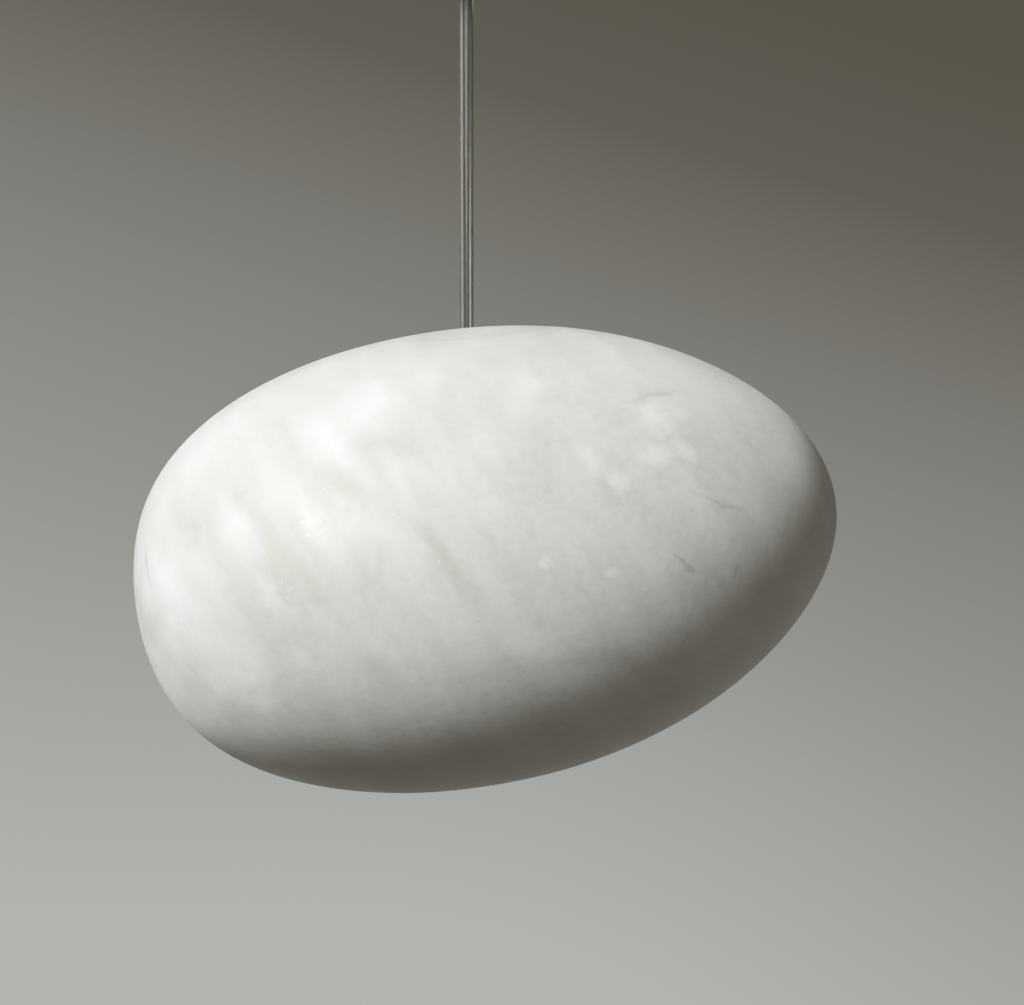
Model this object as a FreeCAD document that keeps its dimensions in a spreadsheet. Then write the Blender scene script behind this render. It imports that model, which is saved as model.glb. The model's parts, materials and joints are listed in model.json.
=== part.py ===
"""Pebble pendant lamp: a closed alabaster pebble that hangs on one clear cable.

Millimetres, +Z up, +X to the right and +Y away from the viewer. The ceiling is the
plane z = 0 and the cable hangs down the Z axis, so every level below is negative.
The cable hangs in a ball joint inside the ceiling canopy. The stone hangs on a bar
under its flat crown, and a stone cap, which lifts along the cable, closes the
opening through which the lamp column goes in.
"""

import FreeCAD, Part
import Sketcher

import math
import os

doc = FreeCAD.newDocument("pebble_pendant")
sheet = doc.addObject("Spreadsheet::Sheet", "sizes")

# --- driving sizes ---------------------------------------------------------------

SIZES = {
    # clear cable with two tinned cores and a steel strand that carries the weight
    "cable_radius": 3.5,
    "core_radius": 0.65,
    "core_offset": 1.7,
    "strand_radius": 0.6,
    "core_tail": 1.5,
    "cable_end": 0.5,
    # clearances
    "running_gap": 0.05,
    "free_gap": 0.3,
    "seated_gap": 0.02,
    # where the stone hangs, and how far the cable may swing each way
    "stone_drop": 235,
    "swing_angle": 10,
    # ceiling plate
    "plate_margin": 9,
    "plate_thickness": 2,
    "fixing_spacing": 70,
    "fixing_slot_length": 12,
    "fixing_slot_width": 5.2,
    "tab_gap": 3.8,
    "tab_width": 14,
    "tab_drop": 14.5,
    "tab_thickness": 2,
    # ball joint
    "ball_radius": 10,
    "ball_depth": 27,
    "ball_flat": 8.5,
    "liner_thickness": 1.45,
    "liner_hole_radius": 6.2,
    "socket_wall": 2.45,
    "socket_foot": 12,
    "socket_flange_radius": 22,
    "socket_flange_thickness": 3,
    "socket_screw_ring": 18,
    "lead_window_width": 10,
    "lead_window_height": 7,
    # crimped sleeves at the ends of the cable
    "sleeve_radius": 5.2,
    "sleeve_length": 7.5,
    "crimp_depth": 0.4,
    # canopy and the bushing in its floor
    "canopy_radius": 65,
    "canopy_depth": 45,
    "canopy_wall": 1.2,
    "canopy_corner": 5,
    "ceiling_gap": 0.5,
    "canopy_turn": 18,
    "canopy_screw_drop": 10,
    "canopy_screw_radius": 2,
    "thumb_head_radius": 5,
    "thumb_head_length": 6,
    "bushing_radius": 11,
    "bushing_flange_radius": 14,
    "bushing_flange_thickness": 2,
    "bushing_rise": 4.2,
    "bushing_nut_flats": 28,
    "bushing_nut_thickness": 2,
    # driver, terminals, leads
    "driver_length": 52,
    "driver_width": 22,
    "driver_height": 20,
    "driver_ear": 5,
    "driver_ear_thickness": 3,
    "driver_corner": 1.5,
    "terminal_length": 30,
    "terminal_width": 14,
    "terminal_height": 14,
    "terminal_tunnel_drop": 4.2,
    "terminal_well_depth": 7,
    "terminal_screw_length": 4.5,
    "pole_pitch": 9,
    "lead_radius": 0.9,
    "lead_bend": 2,
    "mains_lead_bend": 10,
    "mains_lead_drop": 12,
    "mains_lead_pitch": 4,
    "mains_lead_reach": 45,
    "grommet_radius": 7.5,
    "grommet_bore_radius": 4.5,
    "grommet_lip": 2,
    "grommet_across": 24,
    "grommet_forward": 30,
    "earth_inset": 14,
    "earth_washer_rim": 1,
    "earth_washer_thickness": 1,
    # small screws
    "small_screw_radius": 1.5,
    "small_head_radius": 2.7,
    "small_head_height": 2,
    # the pebble: half sizes along its own axes, its tilt, and how it leaves an ellipsoid
    "pebble_half_length": 177.5,
    "pebble_half_height": 114.9,
    "pebble_half_depth": 133,
    "pebble_tilt": 9.4,
    "pebble_across": 5,
    "pebble_centre_drop": 114.3,
    "nose_sharpening": 4.4,
    "flank_filling": 1.4,
    "nose_tip": 1.1,
    "back_lean": 3,
    "back_turn": 2.5,
    "stone_wall": 14,
    "hollow_shift": 1.5,
    # the crown of the stone: cap, ledge and land
    "seam_radius": 43,
    "opening_radius": 35,
    "ledge_drop": 15,
    "land_drop": 36,
    "cap_floor_drop": 12,
    "cap_relief_radius": 12,
    "cap_relief_height": 6,
    "cap_hole_gap": 0.5,
    # hanging hardware
    "clamp_plate_thickness": 2,
    "window_inner_radius": 11,
    "window_outer_radius": 30,
    "window_web": 6,
    "gasket_inner_radius": 30,
    "gasket_outer_radius": 40,
    "tube_radius": 5,
    "tube_bore_radius": 4,
    "tube_top_drop": 9,
    "tube_bottom_drop": 52,
    "nut_flats": 14,
    "top_nut_height": 3,
    "lower_nut_height": 5,
    "tube_washer_radius": 9,
    "tube_washer_thickness": 1,
    "bar_length": 116,
    "bar_width": 28,
    "bar_thickness": 5,
    "bar_corner": 5.6,
    "pad_thickness": 2,
    "pad_length": 18,
    "pad_width": 26,
    "pad_inset": 3,
    # lamp column
    "spacer_radius": 4,
    "spacer_length": 24,
    "spacer_setout": 20,
    "spacer_thread_depth": 8,
    "head_radius": 27,
    "head_thickness": 3,
    "spigot_height": 3,
    "spigot_gap": 0.2,
    "junction_board_radius": 15,
    "board_thickness": 1.2,
    "diffuser_radius": 25,
    "diffuser_wall": 2.5,
    "diffuser_length": 112,
    "post_flats": 22,
    "post_bore_radius": 4,
    "post_bore_depth": 80,
    "board_width": 11,
    "board_length": 96,
    "chip_width": 2.8,
    "chip_length": 3.5,
    "chip_height": 0.7,
    "chip_pitch": 12,
    "end_screw_radius": 2,
    "end_screw_length": 14,
    "end_screw_head_radius": 4,
    "end_screw_head_height": 2.5,
}

# A sleeve's two crimped grooves, in shares of its length.
CRIMP_STARTS = (0.2, 0.6)
CRIMP_SLOPE = 0.05
CRIMP_WIDTH = 0.2

# A round cable that swings sideways cuts a level plane in a slightly longer oval.
TILTED_WIDTH = 1.03

POST_FACES = 6
CHIPS_PER_BOARD = 8
TERMINAL_POLES = 3

for row, (alias, value) in enumerate(SIZES.items(), start=1):
    sheet.set(f"A{row}", alias)
    sheet.set(f"B{row}", str(value))
    sheet.setAlias(f"B{row}", alias)
doc.recompute()


class Size:
    """A length with the expression that gives it, so a sketch starts where it ends."""

    def __init__(self, value, text):
        self.value = value
        self.text = text

    @staticmethod
    def of(thing):
        return thing if isinstance(thing, Size) else Size(thing, repr(thing))

    def combined(self, other, sign, value):
        return Size(value, f"({self.text} {sign} {Size.of(other).text})")

    def __add__(self, other):
        return self.combined(other, "+", self.value + Size.of(other).value)

    def __sub__(self, other):
        return self.combined(other, "-", self.value - Size.of(other).value)

    def __mul__(self, other):
        return self.combined(other, "*", self.value * Size.of(other).value)

    def __truediv__(self, other):
        return self.combined(other, "/", self.value / Size.of(other).value)

    def __radd__(self, other):
        return Size.of(other) + self

    def __rsub__(self, other):
        return Size.of(other) - self

    def __rmul__(self, other):
        return Size.of(other) * self

    def __neg__(self):
        return Size(-self.value, f"(0 - {self.text})")


def size(alias):
    """One cell of the sheet."""
    return Size(float(sheet.get(alias)), f"sizes.{alias}")


def tangent(angle):
    return Size(math.tan(math.radians(angle.value)), f"tan({angle.text} * 1 deg)")


def bind(item, prop, length):
    item.setExpression(prop, Size.of(length).text)


def put(item, x=0, y=0, z=0, turn=None):
    """Places an item, with its base bound to the sheet."""
    if turn is not None:
        item.Placement = FreeCAD.Placement(FreeCAD.Vector(0, 0, 0), turn)
    for axis, length in (("x", x), ("y", y), ("z", z)):
        bind(item, f"Placement.Base.{axis}", length)
    return item


ALONG_X = FreeCAD.Rotation(FreeCAD.Vector(0, 1, 0), 90)
ALONG_Y = FreeCAD.Rotation(FreeCAD.Vector(1, 0, 0), -90)


# --- primitives and booleans bound to the sheet --------------------------------------


def rod(name, radius, length, x=0, y=0, z=0, turn=None):
    item = doc.addObject("Part::Cylinder", name)
    bind(item, "Radius", radius)
    bind(item, "Height", length)
    return put(item, x, y, z, turn)


def block(name, length, width, height, x=0, y=0, z=0, turn=None):
    """A block with its lowest corner at x, y, z."""
    item = doc.addObject("Part::Box", name)
    bind(item, "Length", length)
    bind(item, "Width", width)
    bind(item, "Height", height)
    return put(item, x, y, z, turn)


def centred_block(name, length, width, height, x=0, y=0, z=0):
    """A block centred on x and y, standing on z."""
    return block(name, length, width, height, x - length / 2, y - width / 2, z)


def ball(name, radius, z):
    item = doc.addObject("Part::Sphere", name)
    bind(item, "Radius", radius)
    return put(item, 0, 0, z)


def join(name, items):
    item = doc.addObject("Part::MultiFuse", name)
    item.Shapes = items
    return item


def cut(name, base, tools):
    item = doc.addObject("Part::Cut", name)
    item.Base = base
    item.Tool = tools[0] if len(tools) == 1 else join(name + "_tools", tools)
    return item


def overlap(name, items):
    item = doc.addObject("Part::MultiCommon", name)
    item.Shapes = items
    return item


def together(name, items):
    """Separate solids that share one node."""
    item = doc.addObject("Part::Compound", name)
    item.Links = items
    return item


def ring(name, outer, inner, height, x=0, y=0, z=0):
    disc = rod(name + "_outer", outer, height, x, y, z)
    return cut(name, disc, [rod(name + "_hole", inner, height, x, y, z)])


def turn_about_z(item, angle):
    """Turns an item about the Z axis by an angle bound to the sheet."""
    item.Placement = FreeCAD.Placement(FreeCAD.Vector(0, 0, 0), FreeCAD.Rotation(FreeCAD.Vector(0, 0, 1), 1))
    bind(item, "Placement.Rotation.Angle", angle)


# --- sketched pieces -------------------------------------------------------------------


def sketch_on(body, role, name):
    sketch = body.newObject("Sketcher::SketchObject", name)
    plane = next(item for item in body.Origin.OriginFeatures if item.Role == role)
    sketch.AttachmentSupport = [(plane, "")]
    sketch.MapMode = "FlatFace"
    return sketch


def draw_outline(sketch, corners):
    """A closed run of lines whose corners are bound to the sheet."""
    points = [FreeCAD.Vector(Size.of(u).value, Size.of(v).value, 0) for u, v in corners]
    count = len(points)
    for index in range(count):
        sketch.addGeometry(Part.LineSegment(points[index], points[(index + 1) % count]), False)
    for index in range(count):
        sketch.addConstraint(Sketcher.Constraint("Coincident", index, 2, (index + 1) % count, 1))
    for index, corner in enumerate(corners):
        for kind, length in zip(("DistanceX", "DistanceY"), corner):
            length = Size.of(length)
            number = sketch.addConstraint(Sketcher.Constraint(kind, -1, 1, index, 1, length.value))
            sketch.setExpression(f"Constraints[{number}]", length.text)


def turned(name, profile, z=0):
    """A piece turned about the Z axis from a profile of (radius, height) corners."""
    body = doc.addObject("PartDesign::Body", name)
    sketch = sketch_on(body, "XZ_Plane", name + "_profile")
    draw_outline(sketch, profile)
    feature = body.newObject("PartDesign::Revolution", name + "_turning")
    feature.Profile = sketch
    feature.ReferenceAxis = (sketch, ["V_Axis"])
    feature.Angle = 360
    put(body, 0, 0, z)
    return body


def hexagon(flats):
    """Corners of a hexagon, two of its sides square to Y, from its width across flats."""
    corner = flats / math.sqrt(3)
    return [
        (corner, 0),
        (corner / 2, flats / 2),
        (-corner / 2, flats / 2),
        (-corner, 0),
        (-corner / 2, -flats / 2),
        (corner / 2, -flats / 2),
    ]


def hex_piece(name, flats, height, hole_radius, z):
    """A hexagonal prism with a round hole, such as a nut."""
    body = doc.addObject("PartDesign::Body", name)
    sketch = sketch_on(body, "XY_Plane", name + "_hexagon")
    draw_outline(sketch, hexagon(flats))
    pad = body.newObject("PartDesign::Pad", name + "_pad")
    pad.Profile = sketch
    bind(pad, "Length", height)
    hole = sketch_on(body, "XY_Plane", name + "_hole_circle")
    middle, axis = FreeCAD.Vector(0, 0, 0), FreeCAD.Vector(0, 0, 1)
    circle = hole.addGeometry(Part.Circle(middle, axis, hole_radius.value))
    hole.addConstraint(Sketcher.Constraint("Coincident", circle, 3, -1, 1))
    number = hole.addConstraint(Sketcher.Constraint("Radius", circle, hole_radius.value))
    hole.setExpression(f"Constraints[{number}]", hole_radius.text)
    pocket = body.newObject("PartDesign::Pocket", name + "_hole")
    pocket.Profile = hole
    pocket.Type = "ThroughAll"
    pocket.Midplane = True
    put(body, 0, 0, z)
    return body


def pan_screw(name, x, y, z, head_radius, head_height, shank_radius, shank_length, up=True):
    """A screw whose head bears at z. Its shank goes up, or down where up is false."""
    way = 1 if up else -1
    head_z = z - head_height if up else z
    shank_z = z if up else z - shank_length
    head = rod(name + "_head", head_radius, head_height, x, y, head_z)
    shank = rod(name + "_shank", shank_radius, shank_length, x, y, shank_z)
    slot_depth, slot_length, slot_width = head_height / 3, head_radius * 1.2, head_radius / 4
    slot_z = z - head_height if up else z + head_height - slot_depth
    slot = centred_block(name + "_slot", slot_length, slot_width, slot_depth, x, y, slot_z)
    return cut(name, join(name + "_blank", [head, shank]), [slot])


def lead(name, route, bend, radius):
    """A round wire along straight runs joined by tangent arcs."""
    edges = []
    start = route[0]
    for before, corner, after in zip(route, route[1:], route[2:]):
        inward = (before - corner).normalize()
        outward = (after - corner).normalize()
        half_turn = (math.pi - inward.getAngle(outward)) / 2
        reach = bend * math.tan(half_turn)
        leave = corner + inward * reach
        join_again = corner + outward * reach
        middle_way = (inward + outward).normalize()
        middle = corner + middle_way * (bend / math.cos(half_turn) - bend)
        edges.append(Part.LineSegment(start, leave).toShape())
        edges.append(Part.Arc(leave, middle, join_again).toShape())
        start = join_again
    edges.append(Part.LineSegment(start, route[-1]).toShape())
    path = Part.Wire(edges)
    way = (route[1] - route[0]).normalize()
    section = Part.Wire([Part.makeCircle(radius, route[0], way)])
    solid = path.makePipeShell([section], True, False)
    drawn = math.pi * radius**2 * path.Length
    print(f"{name}: length {path.Length:.1f} mm, volume {solid.Volume:.1f} of {drawn:.1f} mm3")
    return solid


def shaped(name, shape):
    item = doc.addObject("Part::Feature", name)
    item.Shape = shape
    return item


nodes = {}


def node(name, item):
    """Names a finished sub-part."""
    item.Label = name
    nodes[name] = item
    return item


# --- levels ---------------------------------------------------------------------------

plate_under = -size("plate_thickness")
ball_level = -size("ball_depth")
stone_top = -size("stone_drop")
ledge_level = stone_top - size("ledge_drop")
land_level = stone_top - size("land_drop")
cap_floor = stone_top - size("cap_floor_drop")
bar_top = land_level - size("pad_thickness")
bar_under = bar_top - size("bar_thickness")
head_top = bar_under - size("spacer_length")
head_under = head_top - size("head_thickness")
diffuser_foot = head_under - size("diffuser_length")
post_top = head_under - size("spigot_height")
post_foot = diffuser_foot + size("spigot_height")
upper_sleeve_foot = ball_level + size("ball_flat")
cable_top = upper_sleeve_foot + size("sleeve_length") + size("cable_end")
lower_sleeve_top = stone_top - size("tube_bottom_drop")
cable_bottom = lower_sleeve_top - size("sleeve_length") - size("cable_end")

# With both swings at once the cable leans towards a corner, so it leans further.
swing_slope = tangent(size("swing_angle")) * math.sqrt(2)


def swept_radius(depth):
    """How far from the axis the swinging cable reaches, this far below the ball."""
    return size("cable_radius") * TILTED_WIDTH + depth * swing_slope


# --- ceiling plate ----------------------------------------------------------------------

socket_bore = size("ball_radius") + size("liner_thickness") + size("running_gap") * 2
screw_hole = size("small_screw_radius") + size("seated_gap")

# The plate, its tabs and its earth screw take their reach from the canopy that covers them.
plate_radius = size("canopy_radius") - size("plate_margin")
tab_reach = size("canopy_radius") - size("canopy_wall") - size("tab_gap")
earth_forward = plate_radius - size("earth_inset")

# The driver and the terminal block stand either side of the socket's flange.
driver_front = size("socket_flange_radius") + size("free_gap")
driver_screw_setout = size("driver_length") / 2 + size("driver_ear") / 2


def ceiling_plate():
    thickness = size("plate_thickness")
    pieces = [rod("plate_disc", plate_radius, thickness, 0, 0, plate_under)]
    tab_screw_hole = size("canopy_screw_radius") + size("seated_gap")
    holes = [rod("plate_centre_hole", socket_bore, thickness, 0, 0, plate_under)]
    width, tab_y = size("tab_width"), -size("tab_width") / 2
    for side, word in ((1, "right"), (-1, "left")):
        ear_start = plate_radius / 2
        ear_length = tab_reach - ear_start
        ear_x = ear_start if side > 0 else -tab_reach
        tab_x = tab_reach - size("tab_thickness") if side > 0 else -tab_reach
        pieces.append(block(f"plate_ear_{word}", ear_length, width, thickness, ear_x, tab_y, plate_under))
        pieces.append(
            block(
                f"plate_tab_{word}",
                size("tab_thickness"),
                width,
                size("tab_drop") + thickness,
                tab_x,
                tab_y,
                plate_under - size("tab_drop"),
            )
        )
        holes.append(
            rod(
                f"tab_hole_{word}",
                tab_screw_hole,
                size("tab_thickness"),
                tab_x,
                0,
                -size("canopy_screw_drop"),
                ALONG_X,
            )
        )
        centre, slot_width = size("fixing_spacing") / 2 * side, size("fixing_slot_width")
        straight = size("fixing_slot_length") - slot_width
        slot = f"fixing_slot_{word}"
        holes.append(centred_block(slot, straight, slot_width, thickness, centre, 0, plate_under))
        for end, end_word in ((-1, "left_end"), (1, "right_end")):
            end_x = centre + straight / 2 * end
            holes.append(rod(f"{slot}_{end_word}", slot_width / 2, thickness, end_x, 0, plate_under))
        holes.append(
            rod(
                f"driver_screw_hole_{word}",
                screw_hole,
                thickness,
                driver_screw_setout * side,
                driver_front + size("driver_width") / 2,
                plate_under,
            )
        )
    for x, y, label in socket_screw_places():
        holes.append(rod(f"socket_thread_{label}", screw_hole, thickness, x, y, plate_under))
    holes.append(rod("earth_thread", screw_hole, thickness, 0, -earth_forward, plate_under))
    seat = size("grommet_radius") - size("grommet_lip") / 2
    across, forward = size("grommet_across"), size("grommet_forward")
    holes.append(rod("mains_hole", seat, thickness, across, -forward, plate_under))
    return cut("ceiling_plate", join("plate_blank", pieces), holes)


def socket_screw_places():
    """The socket's screws stand on a circle, clear of the window at the back."""
    setout = size("socket_screw_ring") / math.sqrt(2)
    corners = [(1, 1), (-1, 1), (-1, -1), (1, -1)]
    return [(setout * sx, setout * sy, str(number)) for number, (sx, sy) in enumerate(corners)]


node("ceiling_plate", ceiling_plate())


def mains_grommet():
    """A rubber grommet through which the supply cable comes out of the ceiling."""
    across, back = size("grommet_across"), -size("grommet_forward")
    seat = size("grommet_radius") - size("grommet_lip") / 2
    lip_z = plate_under - size("grommet_lip")
    pieces = [
        rod("grommet_lip_below", size("grommet_radius"), size("grommet_lip"), across, back, lip_z),
        rod("grommet_neck", seat - size("seated_gap"), size("plate_thickness"), across, back, plate_under),
    ]
    through = size("plate_thickness") + size("grommet_lip")
    bore = rod("grommet_bore", size("grommet_bore_radius"), through, across, back, lip_z)
    return cut("mains_grommet", join("grommet_blank", pieces), [bore])


node("mains_grommet", mains_grommet())

# --- ball joint ---------------------------------------------------------------------------


def anchor_socket():
    """A turned cup with a spherical seat. The ball goes in from above."""
    outer = socket_bore + size("socket_wall")
    foot = ball_level - size("socket_foot")
    flange_z = plate_under - size("socket_flange_thickness")
    pieces = [
        rod("socket_cup", outer, plate_under - foot, 0, 0, foot),
        rod("socket_flange", size("socket_flange_radius"), size("socket_flange_thickness"), 0, 0, flange_z),
    ]
    window_z = flange_z - size("lead_window_height")
    mouth = swept_radius(size("socket_foot")) + size("free_gap")
    holes = [
        ball("socket_seat", socket_bore, ball_level),
        rod("socket_bore", socket_bore, plate_under - ball_level, 0, 0, ball_level),
        rod("socket_mouth", mouth, size("socket_foot"), 0, 0, foot),
        block(
            "socket_window",
            size("lead_window_width"),
            outer,
            size("lead_window_height"),
            -size("lead_window_width") / 2,
            0,
            window_z,
        ),
    ]
    for x, y, label in socket_screw_places():
        holes.append(rod(f"socket_hole_{label}", screw_hole, size("socket_flange_thickness"), x, y, flange_z))
    return cut("anchor_socket", join("socket_blank", pieces), holes)


def ball_liner():
    """An acetal half shell between the ball and its seat."""
    outer = socket_bore - size("running_gap")
    shell = ball("liner_outer", outer, ball_level)
    shell.Angle2 = 0
    inner = ball("liner_inner", size("ball_radius") + size("running_gap"), ball_level)
    hole = rod("liner_hole", size("liner_hole_radius"), outer, 0, 0, ball_level - outer)
    return cut("ball_liner", shell, [inner, hole])


def anchor_ball():
    radius = size("ball_radius")
    whole = ball("ball_blank", radius, ball_level)
    crown = rod("ball_crown", radius, radius, 0, 0, upper_sleeve_foot)
    bore = rod("ball_bore", size("cable_radius") + size("seated_gap"), radius * 2, 0, 0, ball_level - radius)
    return cut("anchor_ball", whole, [crown, bore])


node("anchor_socket", anchor_socket())
node("ball_liner", ball_liner())
node("anchor_ball", anchor_ball())

socket_screws = [
    pan_screw(
        f"socket_screw_{label}",
        x,
        y,
        plate_under - size("socket_flange_thickness"),
        size("small_head_radius"),
        size("small_head_height"),
        size("small_screw_radius"),
        size("socket_flange_thickness") + size("plate_thickness"),
    )
    for x, y, label in socket_screw_places()
]
node("socket_screws", together("socket_screw_set", socket_screws))

# --- cable ----------------------------------------------------------------------------------


def crimp_sleeve(name, z):
    """A steel sleeve with two crimped grooves, which carries the load at a cable end."""
    outer, inner = size("sleeve_radius"), size("cable_radius") + size("seated_gap")
    waist = outer - size("crimp_depth")
    length = size("sleeve_length")
    profile = [(inner, 0), (outer, 0)]
    for start in CRIMP_STARTS:
        profile += [
            (outer, length * start),
            (waist, length * (start + CRIMP_SLOPE)),
            (waist, length * (start + CRIMP_WIDTH - CRIMP_SLOPE)),
            (outer, length * (start + CRIMP_WIDTH)),
        ]
    profile += [(outer, length), (inner, length)]
    return turned(name, profile, z)


def cable_jacket():
    length = cable_top - cable_bottom
    bores = [rod("strand_bore", size("strand_radius") + size("seated_gap"), length, 0, 0, cable_bottom)]
    bore_radius = size("core_radius") + size("seated_gap")
    for side, word in ((1, "right"), (-1, "left")):
        across = size("core_offset") * side
        bores.append(rod(f"core_bore_{word}", bore_radius, length, across, 0, cable_bottom))
    return cut("cable_jacket", rod("jacket_blank", size("cable_radius"), length, 0, 0, cable_bottom), bores)


def cable_cores():
    """Two tinned cores, which stand out of the jacket at both ends."""
    length = cable_top - cable_bottom + size("core_tail") * 2
    foot = cable_bottom - size("core_tail")
    cores = [
        rod(f"core_{word}", size("core_radius"), length, size("core_offset") * side, 0, foot)
        for side, word in ((1, "right"), (-1, "left"))
    ]
    return together("cable_core_pair", cores)


node("upper_sleeve", crimp_sleeve("upper_sleeve_body", upper_sleeve_foot))
node("lower_sleeve", crimp_sleeve("lower_sleeve_body", lower_sleeve_top - size("sleeve_length")))
node("cable_jacket", cable_jacket())
node("cable_cores", cable_cores())
strand_length = cable_top - cable_bottom
node("carrier_strand", rod("carrier_strand", size("strand_radius"), strand_length, 0, 0, cable_bottom))

# --- canopy -----------------------------------------------------------------------------------

canopy_floor = -size("canopy_depth")
canopy_rim = -size("ceiling_gap")


def canopy_cup():
    """A spun cup, with its outer corner rounded, that hides the ceiling fitting."""
    outer, wall = size("canopy_radius"), size("canopy_wall")
    depth = canopy_rim - canopy_floor
    hole = size("bushing_radius") + size("seated_gap")
    body = turned(
        "canopy_cup",
        [(hole, 0), (outer, 0), (outer, depth), (outer - wall, depth), (outer - wall, wall), (hole, wall)],
        canopy_floor,
    )
    doc.recompute()
    corner, inside = size("canopy_corner"), size("canopy_corner") - wall
    for label, level, radius, fillet_radius in (
        ("outer", 0.0, outer.value, corner),
        ("inner", wall.value, (outer - wall).value, inside),
    ):
        tip = body.Tip
        names = []
        for index, edge in enumerate(tip.Shape.Edges, start=1):
            box = edge.BoundBox
            flat = abs(box.ZMin - level) < 1e-4 and abs(box.ZMax - level) < 1e-4
            if flat and abs(box.XMax - radius) < 1e-3:
                names.append(f"Edge{index}")
        fillet = body.newObject("PartDesign::Fillet", f"canopy_{label}_corner")
        fillet.Base = (tip, names)
        bind(fillet, "Radius", fillet_radius)
        doc.recompute()
    return body


def bayonet_slot(word, start_angle):
    """The L-shaped slot that a side screw slides through, seen from the screw's place."""
    outer = size("canopy_radius") + 1
    half = size("canopy_screw_radius") + size("free_gap")
    level = -size("canopy_screw_drop")
    sweep = doc.addObject("Part::Cylinder", f"slot_sweep_{word}")
    bind(sweep, "Radius", outer)
    bind(sweep, "Height", half * 2)
    bind(sweep, "Angle", size("canopy_turn"))
    sweep.Placement = FreeCAD.Placement(FreeCAD.Vector(0, 0, 0), FreeCAD.Rotation(start_angle, 0, 0))
    bind(sweep, "Placement.Rotation.Angle", start_angle - size("canopy_turn"))
    bind(sweep, "Placement.Base.z", level - half)
    pieces = [sweep]
    entry_turn = Size.of(start_angle) - size("canopy_turn")
    for label, angle in (("rest", Size.of(start_angle)), ("entry", entry_turn)):
        end = doc.addObject("Part::Cylinder", f"slot_{label}_{word}")
        bind(end, "Radius", half)
        bind(end, "Height", outer)
        end.Placement = FreeCAD.Placement(FreeCAD.Vector(0, 0, 0), ALONG_X)
        bind(end, "Placement.Base.z", level)
        carrier = doc.addObject("Part::Compound", f"slot_{label}_{word}_turned")
        carrier.Links = [end]
        turn_about_z(carrier, angle)
        pieces.append(carrier)
    mouth = block(f"slot_mouth_{word}", outer, half * 2, -level, 0, -half, level)
    mouth_turned = doc.addObject("Part::Compound", f"slot_mouth_{word}_turned")
    mouth_turned.Links = [mouth]
    turn_about_z(mouth_turned, entry_turn)
    pieces.append(mouth_turned)
    return join(f"bayonet_slot_{word}", pieces)


def ceiling_canopy():
    cup = canopy_cup()
    inner_radius = size("canopy_radius") - size("canopy_wall") * 2
    inner = rod("slot_keep_inside", inner_radius, size("canopy_depth"), 0, 0, canopy_floor)
    slots = [
        cut(f"slot_cutter_{word}", bayonet_slot(word, angle), [inner])
        for word, angle in (("right", 0), ("left", 180))
    ]
    return cut("ceiling_canopy", cup, slots)


node("ceiling_canopy", ceiling_canopy())


def cable_bushing():
    """A bell-mouthed bushing. Its cone is the cone that the swinging cable sweeps."""
    body, flange = size("bushing_radius"), size("bushing_flange_radius")
    lip = size("bushing_flange_thickness")
    rise = size("bushing_rise")
    top_depth = size("canopy_depth") - rise - size("ball_depth")
    foot_depth = size("canopy_depth") + lip - size("ball_depth")
    throat = swept_radius(top_depth) + size("free_gap")
    mouth = swept_radius(foot_depth) + size("free_gap")
    profile = [
        (mouth, 0),
        (flange - lip / 2, 0),
        (flange, lip / 2),
        (flange, lip),
        (body, lip),
        (body, lip + rise),
        (throat, lip + rise),
    ]
    return turned("cable_bushing_body", profile, canopy_floor - lip)


node("cable_bushing", cable_bushing())
nut_level = canopy_floor + size("canopy_wall")
nut_hole = size("bushing_radius") + size("seated_gap")
nut_flats, nut_thickness = size("bushing_nut_flats"), size("bushing_nut_thickness")
node("bushing_nut", hex_piece("bushing_nut_body", nut_flats, nut_thickness, nut_hole, nut_level))


def thumb_screw(word, side):
    """A knurled side screw. Its shank goes through the canopy's slot into the tab."""
    head_start = size("canopy_radius") + size("free_gap")
    shank_start = tab_reach - size("tab_thickness")
    shank_length = head_start - shank_start
    level = -size("canopy_screw_drop")
    head_length = size("thumb_head_length")
    head_x = head_start if side > 0 else -head_start - head_length
    shank_x = shank_start if side > 0 else -head_start
    head = rod(f"thumb_head_{word}", size("thumb_head_radius"), head_length, head_x, 0, level, ALONG_X)
    shank = rod(f"thumb_shank_{word}", size("canopy_screw_radius"), shank_length, shank_x, 0, level, ALONG_X)
    return join(f"thumb_screw_{word}", [head, shank])


node("canopy_screws", together("thumb_screw_pair", [thumb_screw("right", 1), thumb_screw("left", -1)]))

# --- driver, terminals and leads ------------------------------------------------------------


def led_driver():
    """A constant-current driver in a moulded case with an ear at each end."""
    length, width, height = size("driver_length"), size("driver_width"), size("driver_height")
    case = block("driver_case", length, width, height, -length / 2, driver_front, plate_under - height)
    doc.recompute()
    corner = size("driver_corner").value
    foot = case.Shape.BoundBox.ZMin
    rounded = doc.addObject("Part::Fillet", "driver_rounded_case")
    rounded.Base = case
    rounded.Edges = [
        (index, corner, corner)
        for index, edge in enumerate(case.Shape.Edges, start=1)
        if edge.BoundBox.ZMax - foot < corner / 2 or edge.BoundBox.ZLength > corner
    ]
    ear, ear_height = size("driver_ear"), size("driver_ear_thickness")
    ear_z = plate_under - ear_height
    ears = []
    holes = []
    for side, word in ((1, "right"), (-1, "left")):
        ear_x = length / 2 - ear / 2 if side > 0 else -length / 2 - ear
        ears.append(block(f"driver_ear_{word}", ear * 1.5, width, ear_height, ear_x, driver_front, ear_z))
        centre_x, centre_y = driver_screw_setout * side, driver_front + width / 2
        holes.append(rod(f"driver_ear_hole_{word}", screw_hole, ear_height, centre_x, centre_y, ear_z))
    return cut("led_driver", join("driver_blank", [rounded] + ears), holes)


node("led_driver", led_driver())

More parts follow.
